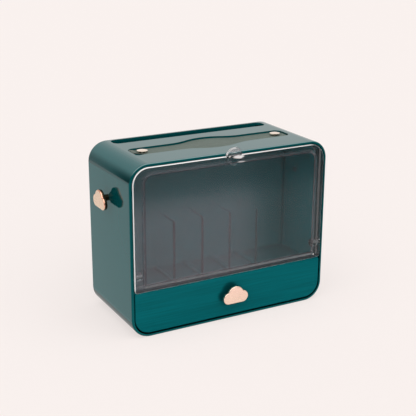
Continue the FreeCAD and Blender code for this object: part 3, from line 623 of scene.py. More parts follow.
@dataclass(frozen=True)
class PaintedLightClear(SmokyClear):
    """Smoky clear acrylic whose outer rim has a pale line painted along its edge: a painted highlight for the
    light that the rim carries there.

    The outlines of the rim and of the raised panel are rectangles across X and Z with two sizes of corner.
    Painted light and shade mark the relief: the panel's edge is painted dark, its bevel painted light at its
    foot, and the strip below it painted dark. A pale band, a painted reflection, runs beside the panel on the
    right. The pull tab has a painted highlight along its arc, and the thumb dent and one corner have painted
    glints. A fade is where it starts and ends, and its share. A glint is its middle, its half sizes and its
    share.
    """

    grain: float = 500.0
    rim_outline: Outline = (0.1359, 0.0602, 0.2179, 0.0209, 0.0040)
    face_outline: Outline = (0.1215, 0.0692, 0.2083, 0.0113, 0.0012)
    front: Span = (-0.0636, -0.0630)
    # colour of the painted highlights on the rim, the glints and the tab's arc
    pale: Colour = (0.90, 0.89, 0.88)
    pale_gain: float = 0.95
    pale_roughness: float = 0.25
    tint_gains: Span = (0.9, 1.1)
    tint_roughness: float = 0.4
    grain_spread: float = 0.1
    # where the painted highlight along the rim lies and how it fades
    line: Span = (-0.0017, -0.0013)
    line_end: Span = (0.0002, 0.0006)
    turned: Span = (-0.97, -0.86)
    strength: float = 0.86
    foot_fade: Fade = (0.0612, 0.0682, 0.8)
    fades: Tuple[Fade, ...] = ((-0.01, 0.09, 0.25), (0.112, 0.122, 0.85))
    slope: float = -0.943
    slope_miss: Span = (0.012, 0.020)
    flat: Span = (0.97, 0.99)
    tilt: Span = (0.20, 0.30)
    # tints of painted light and shade on the relief; the band beside the panel is a painted reflection
    top_bevel: Tint = ((0.28, 0.22, 0.24), 0.08)
    side_bevel: Tint = ((0.060, 0.046, 0.056), 0.30)
    foot_bevel: Tint = ((0.40, 0.34, 0.36), 0.26)
    panel_edge: Tint = ((0.040, 0.030, 0.038), 0.36)
    edge_start: Span = (-0.0014, -0.0007)
    edge_end: Span = (0.0, 0.0002)
    strip: Tint = ((0.030, 0.030, 0.034), 0.62)
    strip_top: Span = (0.0657, 0.0661)
    right_band: Tint = ((0.130, 0.128, 0.132), 0.55)
    band_start: Span = (0.1272, 0.1282)
    band_end: Span = (0.1302, 0.1312)
    # painted highlight along the pull tab's arc
    tab_crest: Span = (0.0088, 0.0098)
    tab_left: Span = (-0.005, 0.001)
    tab_rise: Span = (0.0005, 0.0020)
    tab_share: float = 0.36
    # painted glints: highlights on the thumb dent and at the panel's corner
    glints: Tuple[Glint, ...] = (
        (0.0075, 0.2154, 0.0090, 0.0025, 0.75),
        (0.0105, 0.2090, 0.0065, 0.0009, 0.35),
        (0.1250, 0.0660, 0.0011, 0.0011, 0.85),
    )
    glint_blur: Span = (0.55, 1.05)

    @staticmethod
    def past_outline(spot: Signal, outline: Outline) -> Signal:
        """Distance past a round-cornered outline: below 0 inside it.

        Args:
            spot: The split place.
            outline: Half width, low and high edge, and radius of the upper and of the lower corners.

        Returns:
            The distance.
        """
        half_width, low, high, upper_corner, lower_corner = outline
        middle, half = (low + high) / 2.0, (high - low) / 2.0
        corner = spot.z.math("GREATER_THAN", middle) * (upper_corner - lower_corner) + lower_corner
        across = abs(spot.x) - half_width + corner
        along = abs(spot.z - middle) - half + corner
        past = across.most(0.0).length(along.most(0.0))
        return past + across.most(along).math("MINIMUM", 0.0) - corner

    def rim(self, spot: Signal, facing: Signal) -> Signal:
        """Share of the painted highlight along the front edge of the rim: full on the left, faint on the
        right.

        Args:
            spot: The split place.
            facing: The split normal.

        Returns:
            The mask.
        """
        distance = self.past_outline(spot, self.rim_outline)
        mask = distance.rise(*self.line) * distance.fall(*self.line_end) * facing.y.rise(*self.turned)
        start, end, share = self.foot_fade
        mask = mask * (spot.z.rise(start, end) * share + (1.0 - share))
        for start, end, share in self.fades:
            mask = mask * (1.0 - spot.x.rise(start, end) * share)
        return mask * self.strength

    def glint(self, spot: Signal) -> Signal:
        """Share of the painted glints on the thumb dent and at the panel's corner.

        Args:
            spot: The split place.

        Returns:
            The mask.
        """
        total = None
        for x, z, wide, tall, share in self.glints:
            away = ((spot.x - x) / wide).length((spot.z - z) / tall)
            one = away.fall(*self.glint_blur) * share
            total = one if total is None else total.most(one)
        return total

    def tab_arc(self, spot: Signal) -> Signal:
        """Share of the painted highlight along the upper left of the pull tab's crest.

        Args:
            spot: The split place.

        Returns:
            The mask.
        """
        height = spot.z - self.rim_outline[2]
        crest = spot.x.length(height).rise(*self.tab_crest) * height.rise(*self.tab_rise)
        return crest * (-spot.x).rise(*self.tab_left) * self.tab_share

    def relief(self, spot: Signal, facing: Signal) -> List[Tuple[Signal, Tint]]:
        """Tints of painted light and shade on the bevel, the panel's edge, the strip below it and the band
        beside it.

        Args:
            spot: The split place.
            facing: The split normal.

        Returns:
            The mask and the tint of each.
        """
        bevel = abs(facing.y - self.slope).fall(*self.slope_miss)
        flat = (-facing.y).rise(*self.flat)
        sideways, down = abs(facing.x).rise(*self.tilt), (-facing.z).rise(*self.tilt)
        distance = self.past_outline(spot, self.face_outline)
        above = spot.z.rise(*self.strip_top)
        band = spot.x.rise(*self.band_start) * spot.x.fall(*self.band_end)
        return [
            (bevel * (1.0 - sideways) * (1.0 - down), self.top_bevel),
            (bevel * sideways, self.side_bevel),
            (bevel * down, self.foot_bevel),
            (flat * distance.rise(*self.edge_start) * distance.fall(*self.edge_end), self.panel_edge),
            (flat * (1.0 - above), self.strip),
            (flat * band * above, self.right_band),
        ]

    def surface(self, board: Board) -> Signal:
        """The clear body with the painted lines and spots of light and shade on its rim and relief.

        Args:
            board: The material's board.

        Returns:
            The shader.
        """
        spot, facing = board.spot(), board.facing()
        grain = board.noise(board.place(), self.grain)
        uneven = grain * self.grain_spread
        front = spot.y.fall(*self.front)
        body = super().surface(board)
        # painted light and shade on the relief
        for mask, (colour, share) in self.relief(spot, facing):
            tint = board.shader({
                "Base Color": board.tone(grain, colour, *self.tint_gains),
                "Roughness": self.tint_roughness + uneven,
                "Specular IOR Level": 0.1,
            })
            body = board.over(mask * front * share, body, tint)
        # pale shader of the painted highlights
        edge = board.shader({
            "Base Color": board.tone(grain, self.pale, self.pale_gain),
            "Roughness": self.pale_roughness + uneven,
        })
        bright = self.rim(spot, facing).most(self.glint(spot)).most(self.tab_arc(spot))
        return board.over(bright * front, body, edge)


@dataclass(frozen=True)
class ShadeEdgedClear(SmokyClear):
    """Thin clear plate whose front edge is painted dark as shade, and whose top edge is painted so near the
    front.

    Both painted shades fade to the right. Distances are measured behind the front edge.
    """

    grain: float = 600.0
    front: float = -0.022
    strip_end: Span = (0.0009, 0.0012)
    top_turn: Span = (0.4, 0.8)
    top_end: Span = (0.008, 0.058)
    top_share: float = 0.9
    right: Span = (-0.020, 0.055)
    front_loss: float = 0.40
    top_loss: float = 0.85
    # colour of the painted shade on the edges
    edge: Colour = (0.012, 0.015, 0.017)
    edge_gains: Span = (0.8, 1.2)
    edge_roughness: float = 0.50
    grain_spread: float = 0.1

    def surface(self, board: Board) -> Signal:
        """The clear plate with its edges painted dark as shade.

        Args:
            board: The material's board.

        Returns:
            The shader.
        """
        spot = board.spot()
        behind, right = spot.y - self.front, spot.x.rise(*self.right)
        # painted shade on the front edge and near the front of the top edge, fading to the right
        front = behind.fall(*self.strip_end) * (1.0 - right * self.front_loss)
        top = board.facing().z.rise(*self.top_turn) * behind.fall(*self.top_end) * self.top_share
        top = top * (1.0 - right * self.top_loss)
        grain = board.noise(board.place(), self.grain)
        dark = board.shader({
            "Base Color": board.tone(grain, self.edge, *self.edge_gains),
            "Roughness": self.edge_roughness + grain * self.grain_spread,
            "Specular IOR Level": 0.0,
        })
        return board.over(front.most(top), super().surface(board), dark)


@dataclass(frozen=True)
class PlatedMetal(Finish):
    """Plated metal: satin, with fine brushing and slightly uneven colour."""

    gains: Span = (0.90, 1.0)
    brushing: Point = (400.0, 400.0, 400.0)
    brush_depth: float = 0.00002
    gloss_spread: float = 0.14
    clouds: float = 120.0

    def sockets(self, board: Board) -> Dict[str, Any]:
        """Metal with fine brushed lines.

        Args:
            board: The material's board.

        Returns:
            The shader's inputs.
        """
        brush = board.noise(board.place(self.brushing), detail=3.0, roughness=0.6)
        cloud = board.noise(board.place(), self.clouds)
        return {
            "Base Color": board.tone(cloud, self.colour, *self.gains),
            "Metallic": 1.0,
            "Roughness": self.roughness + brush.swing(self.gloss_spread),
            "Normal": board.bump(brush, self.brush_depth, strength=0.4),
        }


@dataclass(frozen=True)
class HookCasting(PlatedMetal):
    """Plated casting with a bright face, and its post and back painted dark as shade."""

    face_start: Span = (0.1509, 0.1515)
    # colour of the painted shade on the post and back
    back_shade: Colour = (0.050, 0.045, 0.026)

    def sockets(self, board: Board) -> Dict[str, Any]:
        """The plated metal, painted dark as shade between the wall and the back of the face.

        Args:
            board: The material's board.

        Returns:
            The shader's inputs.
        """
        given = super().sockets(board)
        face = abs(board.spot().x).rise(*self.face_start)
        given["Base Color"] = board.mix(face, rgba(self.back_shade), given["Base Color"])
        return given


@dataclass(frozen=True)
class DomeStud(PlatedMetal):
    """Polished stud with a pale crown and dark streaks painted down its skirt as reflections."""

    skirt: Span = (0.30, 0.75)
    # colour of the painted reflection streaks
    streak: Colour = (0.110, 0.062, 0.028)
    spacing: float = 0.0044
    edges: Span = (-0.1, 0.35)
    waver: float = 220.0
    waver_share: float = 3.0

    def sockets(self, board: Board) -> Dict[str, Any]:
        """The plated metal with painted reflection streaks where it turns down.

        Args:
            board: The material's board.

        Returns:
            The shader's inputs.
        """
        given = super().sockets(board)
        waver = board.noise(board.place(), self.waver, detail=1.0) * self.waver_share
        wave = (board.spot().x * (math.tau / self.spacing) + waver).math("SINE")
        # painted reflection streaks down the skirt
        share = board.facing().z.fall(*self.skirt) * wave.rise(*self.edges)
        given["Base Color"] = board.mix(share, given["Base Color"], rgba(self.streak))
        return given


@dataclass(frozen=True)
class GrainedLeather(Finish):
    """Soft leather with pebble grain, creases and darker painted edges.

    valley and painted are the gain of a darker place and its greatest share, relief the depth of the grain
    and the shares of pebbles and creases in it, and gloss_spread what creases and pebbles do to the gloss.
    """

    clouds: float = 40.0
    drift: float = 300.0
    drift_size: Point = (0.0009, 0.0009, 0.0009)
    pebbles: float = 900.0
    pebble_edge: Span = (0.0, 0.25)
    creases: Point = (50.0, 220.0, 220.0)
    relief: Point = (0.00012, 0.7, 0.3)
    gloss_spread: Span = (0.18, 0.06)
    valley: Span = (0.55, 0.35)
    painted: Span = (0.04, 0.97)

    def sockets(self, board: Board) -> Dict[str, Any]:
        """Olive grey with a pebble grain.

        Args:
            board: The material's board.

        Returns:
            The shader's inputs.
        """
        where = board.place()
        drift = board.noise(where, self.drift).out("Color")
        bent = board.node(
            "ShaderNodeVectorMath", {"operation": "MULTIPLY_ADD"}, {0: drift, 1: self.drift_size, 2: where}
        )
        cell = board.node(
            "ShaderNodeTexVoronoi", {"feature": "DISTANCE_TO_EDGE"}, {"Vector": bent, "Scale": self.pebbles}
        )
        pebble = cell.rise(*self.pebble_edge)
        crease = board.noise(board.place(self.creases), detail=4.0, roughness=0.6)
        edge = board.node("ShaderNodeAttribute", {"attribute_name": CarryStrap.edge_layer}, output="Fac")
        tone = board.tone(board.noise(where, self.clouds, detail=3.0), self.colour, *self.gains)
        for share, (gain, most) in ((1.0 - pebble, self.valley), (edge, self.painted)):
            tone = board.mix(share * most, tone, rgba(self.colour, gain))
        depth, pebble_share, crease_share = self.relief
        by_crease, by_pebble = self.gloss_spread
        return {
            "Base Color": tone,
            "Roughness": self.roughness + crease.swing(by_crease) - pebble * by_pebble,
            "Specular IOR Level": 0.15,
            "Normal": board.bump(pebble * pebble_share + crease * crease_share, depth, strength=0.6),
        }


CAST_BRUSHING = (60.0, 60.0, 900.0)
STUD_POLISH = (300.0, 300.0, 300.0)
GLOSS_TEAL = GlossMoulding("gloss_teal", "teal_gloss", (0.0010, 0.088, 0.094), 0.32)
DRAWER_TEAL = StreakedMoulding("drawer_teal", "teal_gloss", (0.0008, 0.098, 0.110), 0.42)
INSIDE_TEAL = SatinMoulding("inside_teal", "teal_inside", (0.0040, 0.118, 0.132), 0.45)
# a darker copy of the inside teal: painted shade on the shelf
SHADED_SHELF_TEAL = RailedShelf("shelf_teal_shaded", "teal_inside", (0.0024, 0.072, 0.081), 0.50)
SMOKE_LID = PaintedLightClear("smoke_clear_lid", "smoke_clear", (0.82, 0.84, 0.86), 0.09)
SMOKE_PLATE = ShadeEdgedClear("smoke_clear_plate", "smoke_clear", (0.96, 0.965, 0.97), 0.03, ior=1.03)
ROSE_GOLD = PlatedMetal(
    "rose_gold_plate", "rose_gold", (0.97, 0.74, 0.59), 0.26, brushing=CAST_BRUSHING
)
HOOK_GOLD = HookCasting("hook_gold_plate", "rose_gold", (0.83, 0.45, 0.32), 0.26, brushing=CAST_BRUSHING)
STUD_GOLD = DomeStud("stud_gold_plate", "stud_gold", (0.98, 0.89, 0.77), 0.08, brushing=STUD_POLISH)
STEEL = PlatedMetal("zinc_steel", "steel", (0.62, 0.63, 0.64), 0.30)
DARK_STEEL = PlatedMetal("dark_steel", "steel", (0.050, 0.150, 0.160), 0.60)
PIN_STEEL = PlatedMetal("pin_steel", "steel", (0.12, 0.15, 0.15), 0.55)
LEATHER = GrainedLeather("strap_leather_grain", "strap_leather", (0.104, 0.136, 0.116), 0.55)


def piece_from(name: str, mesh: bpy.types.Mesh, finish: Finish, crease: float) -> bpy.types.Object:
    """Makes a smooth piece of a finished mesh.

    Args:
        name: The piece's name.
        mesh: Its mesh, placed in the CAD frame.
        finish: What it is made of.
        crease: Angle in degrees from which an edge stays sharp.

    Returns:
        The linked object, with its finish and slot.
    """
    mesh.name = name
    mesh.polygons.foreach_set("use_smooth", [True] * len(mesh.polygons))
    mesh.set_sharp_from_angle(angle=math.radians(crease))
    if not mesh.materials:
        mesh.materials.append(finish.material())
    made = linked(name, mesh)
    LOG.info("%s: %d faces", name, len(mesh.polygons))
    return made


@dataclass(frozen=True)
class PanHeads:
    """The Geometry Nodes tree that sets a threaded pan-head screw with a cross recess on every point.

    The recess is two bars, with their length, width and depth as shares of the head. The thread's root and
    rise are shares of the shank's radius.
    """

    name: str = "pan_head_screws"
    head_faces: Tuple[int, int] = (32, 18)
    flare: float = -0.18
    crown: float = 0.62
    pole: float = 0.0001
    recess: Span = (0.56, 0.15)
    recess_depth: float = 0.9
    recess_height: float = 1.05
    shank_faces: Tuple[int, int] = (16, 48)
    thread: Span = (0.80, 0.19)

    def tree(self) -> bpy.types.NodeTree:
        """Gives the tree, made at its first use.

        Returns:
            The tree, with named inputs for the screw's sizes.
        """
        known = bpy.data.node_groups.get(self.name)
        if known:
            return known
        tree = bpy.data.node_groups.new(self.name, "GeometryNodeTree")
        face = tree.interface
        face.new_socket("Geometry", in_out="INPUT", socket_type="NodeSocketGeometry")
        for name in ("Head Diameter", "Head Height", "Shank Diameter", "Shank Length", "Pitch"):
            face.new_socket(name, in_out="INPUT", socket_type="NodeSocketFloat")
        face.new_socket("Material", in_out="INPUT", socket_type="NodeSocketMaterial")
        face.new_socket("Geometry", in_out="OUTPUT", socket_type="NodeSocketGeometry")
        board = Board(tree)
        sizes = board.node("NodeGroupInput")
        head = self.head(board, sizes)
        join = board.node("GeometryNodeJoinGeometry", {}, {0: self.shank(board, sizes)})
        tree.links.new(head.socket, join.socket.node.inputs[0])
        axis, spin = (
            board.node("GeometryNodeInputNamedAttribute", {"data_type": kind}, {"Name": name})
            for name, kind in (("axis", "FLOAT_VECTOR"), ("spin", "FLOAT"))
        )
        turned = board.node(
            "FunctionNodeAxisAngleToRotation", {}, {"Axis": (0.0, 0.0, 1.0), "Angle": spin}
        )
        facing = board.node(
            "FunctionNodeAlignRotationToVector", {"axis": "Z"}, {"Rotation": turned, "Vector": axis}
        )
        placed = board.node(
            "GeometryNodeInstanceOnPoints", {},
            {"Points": sizes.out("Geometry"), "Instance": join, "Rotation": facing},
        )
        real = board.node("GeometryNodeRealizeInstances", {}, {0: placed})
        dressed = board.node(
            "GeometryNodeSetMaterial", {}, {"Geometry": real, "Material": sizes.out("Material")}
        )
        board.node("NodeGroupOutput", {}, {0: dressed})
        return tree

    def head(self, board: Board, sizes: Signal) -> Signal:
        """A pan head that sits on Z 0, with a cross cut into its crown.

        Args:
            board: The tree's board.
            sizes: The group's inputs.

        Returns:
            The head's geometry.
        """
        wide, high = sizes.out("Head Diameter"), sizes.out("Head Height")
        segments, rings = self.head_faces
        ball = board.node(
            "GeometryNodeMeshUVSphere", {}, {"Segments": segments, "Rings": rings, "Radius": 1.0}
        )
        spot = board.split(board.node("GeometryNodeInputPosition"))
        out = (1.0 - spot.z * spot.z).most(self.pole) ** self.flare * wide * 0.5
        shape = board.joined(spot.x * out, spot.y * out, spot.z.most(0.0) ** self.crown * high)
        pan = board.node("GeometryNodeSetPosition", {}, {"Geometry": ball, "Position": shape})
        crown = board.joined(z=high * self.recess_height)
        cuts = []
        for along, across in (self.recess, self.recess[::-1]):
            size = board.joined(wide * along, wide * across, high * self.recess_depth)
            bar = board.node("GeometryNodeMeshCube", {}, {"Size": size})
            cuts.append(board.node("GeometryNodeSetPosition", {}, {"Geometry": bar, "Offset": crown}))
        cross = board.node(
            "GeometryNodeMeshBoolean", {"operation": "UNION", "solver": "EXACT"}, {1: cuts[0]}
        )
        board.tree.links.new(cuts[1].socket, cross.socket.node.inputs[1])
        return board.node(
            "GeometryNodeMeshBoolean", {"operation": "DIFFERENCE", "solver": "EXACT"}, {0: pan, 1: cross}
        )

    def shank(self, board: Board, sizes: Signal) -> Signal:
        """A threaded shank that hangs below Z 0.

        Args:
            board: The tree's board.
            sizes: The group's inputs.

        Returns:
            The shank's geometry.
        """
        sides, steps = self.shank_faces
        rod = board.node(
            "GeometryNodeMeshCylinder", {},
            {"Vertices": sides, "Side Segments": steps, "Fill Segments": 1, "Radius": 1.0, "Depth": 1.0},
        )
        spot = board.split(board.node("GeometryNodeInputPosition"))
        depth = (spot.z - 0.5) * sizes.out("Shank Length")
        angle = spot.y.math("ARCTAN2", spot.x) / math.tau
        phase = (depth / sizes.out("Pitch") + angle).math("FRACT")
        root, rise = self.thread
        out = sizes.out("Shank Diameter") * 0.5 * (root + abs(phase * 2.0 - 1.0) * rise)
        shape = board.joined(spot.x * out, spot.y * out, depth)
        return board.node("GeometryNodeSetPosition", {}, {"Geometry": rod, "Position": shape})


@dataclass(frozen=True)
class ScrewSize:
    """Sizes that screws of one kind share."""

    head_diameter: float
    head_height: float
    shank_diameter: float
    pitch: float


SMALL_SCREW = ScrewSize(0.0056, 0.0018, 0.003, 0.0011)
LARGE_SCREW = ScrewSize(0.0075, 0.0022, 0.004, 0.0013)
TO_BACK: Point = (0.0, 1.0, 0.0)


@dataclass
class ScrewSet:
    """Pan-head screws with a cross recess, all on one body.

    seats are the places under the heads, axes the way each head faces, and spins the turn of each recess.
    """

    name: str
    body: Body
    nodes: Tuple[str, ...]
    seats: Sequence[Point]
    axes: Sequence[Point]
    spins: Sequence[float]
    size: ScrewSize
    shank_length: float
    finish: Finish = STEEL
    crease: float = 40.0

    def points(self) -> bpy.types.Object:
        """Makes the object whose points carry the screws.

        Returns:
            The object, with each point's axis and spin.
        """
        mesh = bpy.data.meshes.new(self.name + "_points")
        mesh.from_pydata(self.seats, [], [])
        mesh.attributes.new("axis", "FLOAT_VECTOR", "POINT")
        mesh.attributes.new("spin", "FLOAT", "POINT")
        mesh.attributes["axis"].data.foreach_set("vector", [part for way in self.axes for part in way])
        mesh.attributes["spin"].data.foreach_set("value", self.spins)
        return linked(self.name + "_points", mesh)

    def build(self) -> None:
        """Makes the screws and lets them stand for their CAD nodes."""
        carrier = self.points()
        modifier = carrier.modifiers.new("screws", "NODES")
        modifier.node_group = PanHeads().tree()
        values = {
            "Head Diameter": self.size.head_diameter,
            "Head Height": self.size.head_height,
            "Shank Diameter": self.size.shank_diameter,
            "Shank Length": self.shank_length,
            "Pitch": self.size.pitch,
            "Material": self.finish.material(),
        }
        for item in modifier.node_group.interface.items_tree:
            if item.name in values and item.in_out == "INPUT":
                modifier[item.identifier] = values[item.name]
        ready = carrier.evaluated_get(bpy.context.evaluated_depsgraph_get())
        mesh = bpy.data.meshes.new_from_object(ready)
        carrier.modifiers.remove(modifier)
        bpy.data.objects.remove(carrier)
        made = piece_from(self.name, mesh, self.finish, self.crease)
        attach(made, self.body.value)
        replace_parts(made, *self.nodes)


@dataclass
class Case:
    """The sleeve with its rear cover, shelf and inner wall, and their screws."""

    back_seat: float = 0.0622
    back_places: Tuple[Span, ...] = (
        (-0.060, 0.010), (0.060, 0.010), (-0.124, 0.075), (0.124, 0.075), (-0.124, 0.190), (0.124, 0.190),
    )
    back_spins: Tuple[float, ...] = (0.2, 0.9, 0.5, 1.2, 0.1, 0.7)

    def back_screws(self) -> ScrewSet:
        """Lays out the screws of the rear cover, heads to the back.

        Returns:
            The set.
        """
        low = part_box("back_panel_screws")[0]
        seats = [(x, self.back_seat, z) for x, z in self.back_places]
        return ScrewSet(
            "back_screw_set", Body.CASE, ("back_panel_screws",), seats, [TO_BACK] * len(seats),
            self.back_spins, SMALL_SCREW, self.back_seat - low.y,
        )

    def build(self) -> None:
        """Dresses the sleeve's nodes and makes its screws."""
        GLOSS_TEAL.dress("outer_shell", "back_panel")
        INSIDE_TEAL.dress("inner_back_wall")
        SHADED_SHELF_TEAL.dress("mid_shelf")
        self.back_screws().build()


@dataclass
class Lid:
    """The smoky clear flip lid on its two pins."""

    nodes: Tuple[str, ...] = ("flip_lid",)
    pins: Tuple[str, ...] = ("lid_pin_left", "lid_pin_right")

    def build(self) -> None:
        """Dresses the lid and its pins."""
        SMOKE_LID.dress(*self.nodes)
        PIN_STEEL.dress(*self.pins)


@dataclass
class Drawer:
    """The drawer: streaked front plate, tray, cloud knob and their screws."""

    inner_seat: float = -0.058
    screw_rows: Span = (0.018, 0.034)
    screw_half_span: float = 0.100
    front_spins: Tuple[float, ...] = (0.4, 1.1, 0.8, 0.2)
    knob_height: float = 0.0352
    knob_spin: float = 0.6

    def screws(
        self, name: str, node: str, places: Sequence[Span], spins: Sequence[float], size: ScrewSize
    ) -> ScrewSet:
        """Lays out screws that are driven from inside the tray.

        Args:
            name: The piece's name.
            node: The CAD node that they stand for.
            places: Where they are, across and up.
            spins: Turns of their recesses.
            size: Their kind.

        Returns:
            The set.
        """
        seats = [(x, self.inner_seat, z) for x, z in places]
        length = self.inner_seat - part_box(node)[0].y
        return ScrewSet(name, Body.DRAWER, (node,), seats, [TO_BACK] * len(seats), spins, size, length)

    def build(self) -> None:
        """Dresses the drawer's nodes and makes its screws."""
        DRAWER_TEAL.dress("drawer_front")
        INSIDE_TEAL.dress("drawer_tray")
        ROSE_GOLD.dress("drawer_knob")
        corners = [(side * self.screw_half_span, z) for z in self.screw_rows for side in (-1, 1)]
        knob = [(0.0, self.knob_height)]
        self.screws("front_screw_set", "drawer_front_screws", corners, self.front_spins, SMALL_SCREW).build()
        self.screws("knob_screw_set", "drawer_knob_screw", knob, [self.knob_spin], LARGE_SCREW).build()


@dataclass
class Dividers:
    """The four upright plates in the shelf's rails."""

    nodes: Tuple[str, ...] = ("divider_1", "divider_2", "divider_3", "divider_4")

    def build(self) -> None:
        """Dresses the plates."""
        SMOKE_PLATE.dress(*self.nodes)


@dataclass
class SideHooks:
    """The two cloud-shaped hooks and their screws, which are driven from inside."""

    seat: float = 0.137
    spins: Span = (0.3, 1.0)

    def screws(self) -> ScrewSet:
        """Lays out one screw for each hook, heads to the inside.

        Returns:
            The set.
        """
        low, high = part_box("right_hook_screw")
        middle = (low + high) / 2.0
        return ScrewSet(
            "hook_screw_set", Body.CASE, ("left_hook_screw", "right_hook_screw"),
            [(side * self.seat, middle.y, middle.z) for side in (-1, 1)],
            [(1.0, 0.0, 0.0), (-1.0, 0.0, 0.0)], self.spins, LARGE_SCREW, high.x - self.seat, DARK_STEEL,
        )

    def build(self) -> None:
        """Dresses the hooks and makes their screws."""
        HOOK_GOLD.dress("left_hook", "right_hook")
        self.screws().build()


@dataclass
class CarryStrap:
    """The leather strap: two halves that meet at the middle, held by a stud each.

    The outline is straight, swells at the middle through two arcs a side, and has round end corners. The
    edge layer says how much of an edge each point is.
    """

    half_length: float = 0.1107
    half_width: float = 0.0154
    end_corner: float = 0.0084
    swell: float = 0.0112
    swell_half_length: float = 0.051
    centre: float = -0.0070
    bottom: float = 0.2173
    thickness: float = 0.0027
    edge_round: float = 0.0011
    foot_round: float = 0.25
    foot_heights: Span = (0.0001, 0.0005)
    foot_edge: float = 0.6
    edge_fade: float = 1.4
    crown: float = 0.0003
    stud: float = 0.0963
    stud_reach: float = 0.008
    dent: float = 0.0004
    left_curl: float = 0.0026
    right_curl: float = 0.0002
    curl_start: float = 0.0030
    curl_power: float = 1.5
    left_cup: float = 0.0024
    cup_from: float = 0.0860
    cup_full: float = 0.1000
    held: float = 0.088
    stations: int = 96
    corner_steps: int = 14
    round_steps: int = 5
    across: int = 16
    crease: float = 50.0
    edge_layer = "edge"

    def reach(self, x: float) -> float:
        """Half width at a distance from the middle.

        Args:
            x: Distance along the strap.

        Returns:
            The half width there.
        """
        wide = self.half_width
        length, rise = self.swell_half_length, self.swell
        bend = (length ** 2 + rise ** 2) / (4.0 * rise)
        if x < length / 2.0:
            wide += rise - (bend - math.sqrt(bend ** 2 - x ** 2))
        elif x < length:
            wide += bend - math.sqrt(bend ** 2 - (length - x) ** 2)
        past = x - (self.half_length - self.end_corner)
        if past > 0.0:
            wide -= self.end_corner - math.sqrt(max(0.0, self.end_corner ** 2 - past ** 2))
        return wide

    def places(self) -> List[float]:
        """Distances of the cross-sections from the middle, closer round the end corner.

        Returns:
            The distances.
        """
        start = self.half_length - self.end_corner
        even = [start * step / self.stations for step in range(self.stations)]
        turn = [start + self.end_corner * math.sin(0.5 * math.pi * step / self.corner_steps)
                for step in range(self.corner_steps + 1)]
        return even + turn

    def section(self, x: float) -> List[Point]:
        """One closed cross-section, from the middle of the underside round to it again.

        Args:
            x: Distance from the strap's middle.

        Returns:
            Offsets across the strap, heights above its underside, and how much of an edge each point is.
        """
        wide, radius = self.reach(x), self.edge_round
        short = max(0.0, radius - (self.half_length - x))
        top = self.thickness - (radius - math.sqrt(max(0.0, radius ** 2 - short ** 2)))
        flat = wide - radius
        low, high = self.foot_heights
        half = [(flat * step / self.across, 0.0, 0.0) for step in range(self.across + 1)]
        half.append((wide - radius * self.foot_round, low, self.foot_edge))
        half += [(wide, high, 1.0), (wide, top - radius, 1.0)]
        for step in range(1, self.round_steps + 1):
            angle = 0.5 * math.pi * step / self.round_steps
            half.append((flat + radius * math.cos(angle), top - radius + radius * math.sin(angle),
                         min(1.0, self.edge_fade * (1.0 - step / self.round_steps))))
        half += [(flat * step / self.across, top + self.crown * (1.0 - (step / self.across) ** 2), 0.0)
                 for step in range(self.across - 1, -1, -1)]
        other = [(-offset, height, edge) for offset, height, edge in reversed(half[1:-1])]
        return half + other

    def sunk(self, x: float, offset: float) -> float:
        """Depth of the dent that the stud presses into the top."""
        away = math.hypot(x - self.stud, offset) / self.stud_reach
        return self.dent * math.exp(-away ** 2)

    def curled(self, x: float, offset: float, side: int) -> float:
        """Rise of the free tip past the stud, with the left one's front edge cupped up round its stud.

        Args:
            x: Distance from the strap's middle.
            offset: Distance from its centre line.
            side: 1 for the right half, -1 for the left.

        Returns:
            The rise.
        """
        start = self.stud + self.curl_start
        past = (max(0.0, x - start) / (self.half_length - start)) ** self.curl_power
        if side > 0:
            return self.right_curl * past
        near = min(1.0, max(0.0, (x - self.cup_from) / (self.cup_full - self.cup_from)))
        cup = near * near * (3.0 - 2.0 * near) * (min(offset, 0.0) / self.half_width) ** 2
        return self.left_curl * past + self.left_cup * cup

    def mesh(self, name: str, side: int) -> bpy.types.Mesh:
        """Makes the closed mesh of one half, ring by ring from the middle to the tip.

        Args:
            name: The mesh's name.
            side: 1 for the right half, -1 for the left.

        Returns:
            The mesh, with its edge layer.
        """
        shape = bmesh.new()
        edge_layer = shape.verts.layers.float.new(self.edge_layer)
        rings = []
        for x in self.places():
            ring = []
            for offset, height, edge in self.section(x):
                lift = height + self.curled(x, offset, side)
                if height > self.thickness / 2.0:
                    lift -= self.sunk(x, offset)
                point = shape.verts.new((side * x, self.centre + offset, self.bottom + lift))
                point[edge_layer] = edge
                ring.append(point)
            rings.append(ring)
        count = len(rings[0])
        for first, second in zip(rings, rings[1:]):
            for spot in range(count):
                after = (spot + 1) % count
                shape.faces.new((first[spot], first[after], second[after], second[spot]))
        shape.faces.new(rings[0])
        shape.faces.new(rings[-1])
        bmesh.ops.recalc_face_normals(shape, faces=shape.faces)
        mesh = bpy.data.meshes.new(name)
        shape.to_mesh(mesh)
        shape.free()
        return mesh

    def half(self, name: str, side: int) -> bpy.types.Object:
        """Makes one half of the strap.

        Args:
            name: The piece's name.
            side: 1 for the right half, -1 for the left.

        Returns:
            The piece.
        """
        made = piece_from(name, self.mesh(name, side), LEATHER, self.crease)
        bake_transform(made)
        return made

    def build(self) -> None:
        """Makes both halves, and dresses the studs and nuts."""
        for name, side in (("strap_left_half", -1), ("strap_right_half", 1)):
            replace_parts(self.half(name, side), "carry_strap")
        STUD_GOLD.dress("left_strap_stud", "right_strap_stud")
        STEEL.dress("left_strap_nut", "right_strap_nut")


def level(x: Span, y: Span, z: float) -> List[Point]:
    """Corners of a level rectangle."""
    return [(x[0], y[0], z), (x[1], y[0], z), (x[1], y[1], z), (x[0], y[1], z)]


def upright(x: Span, y: float, z: Span) -> List[Point]:
    """Corners of a rectangle that stands across the view."""
    return [(x[0], y, z[0]), (x[1], y, z[0]), (x[1], y, z[1]), (x[0], y, z[1])]


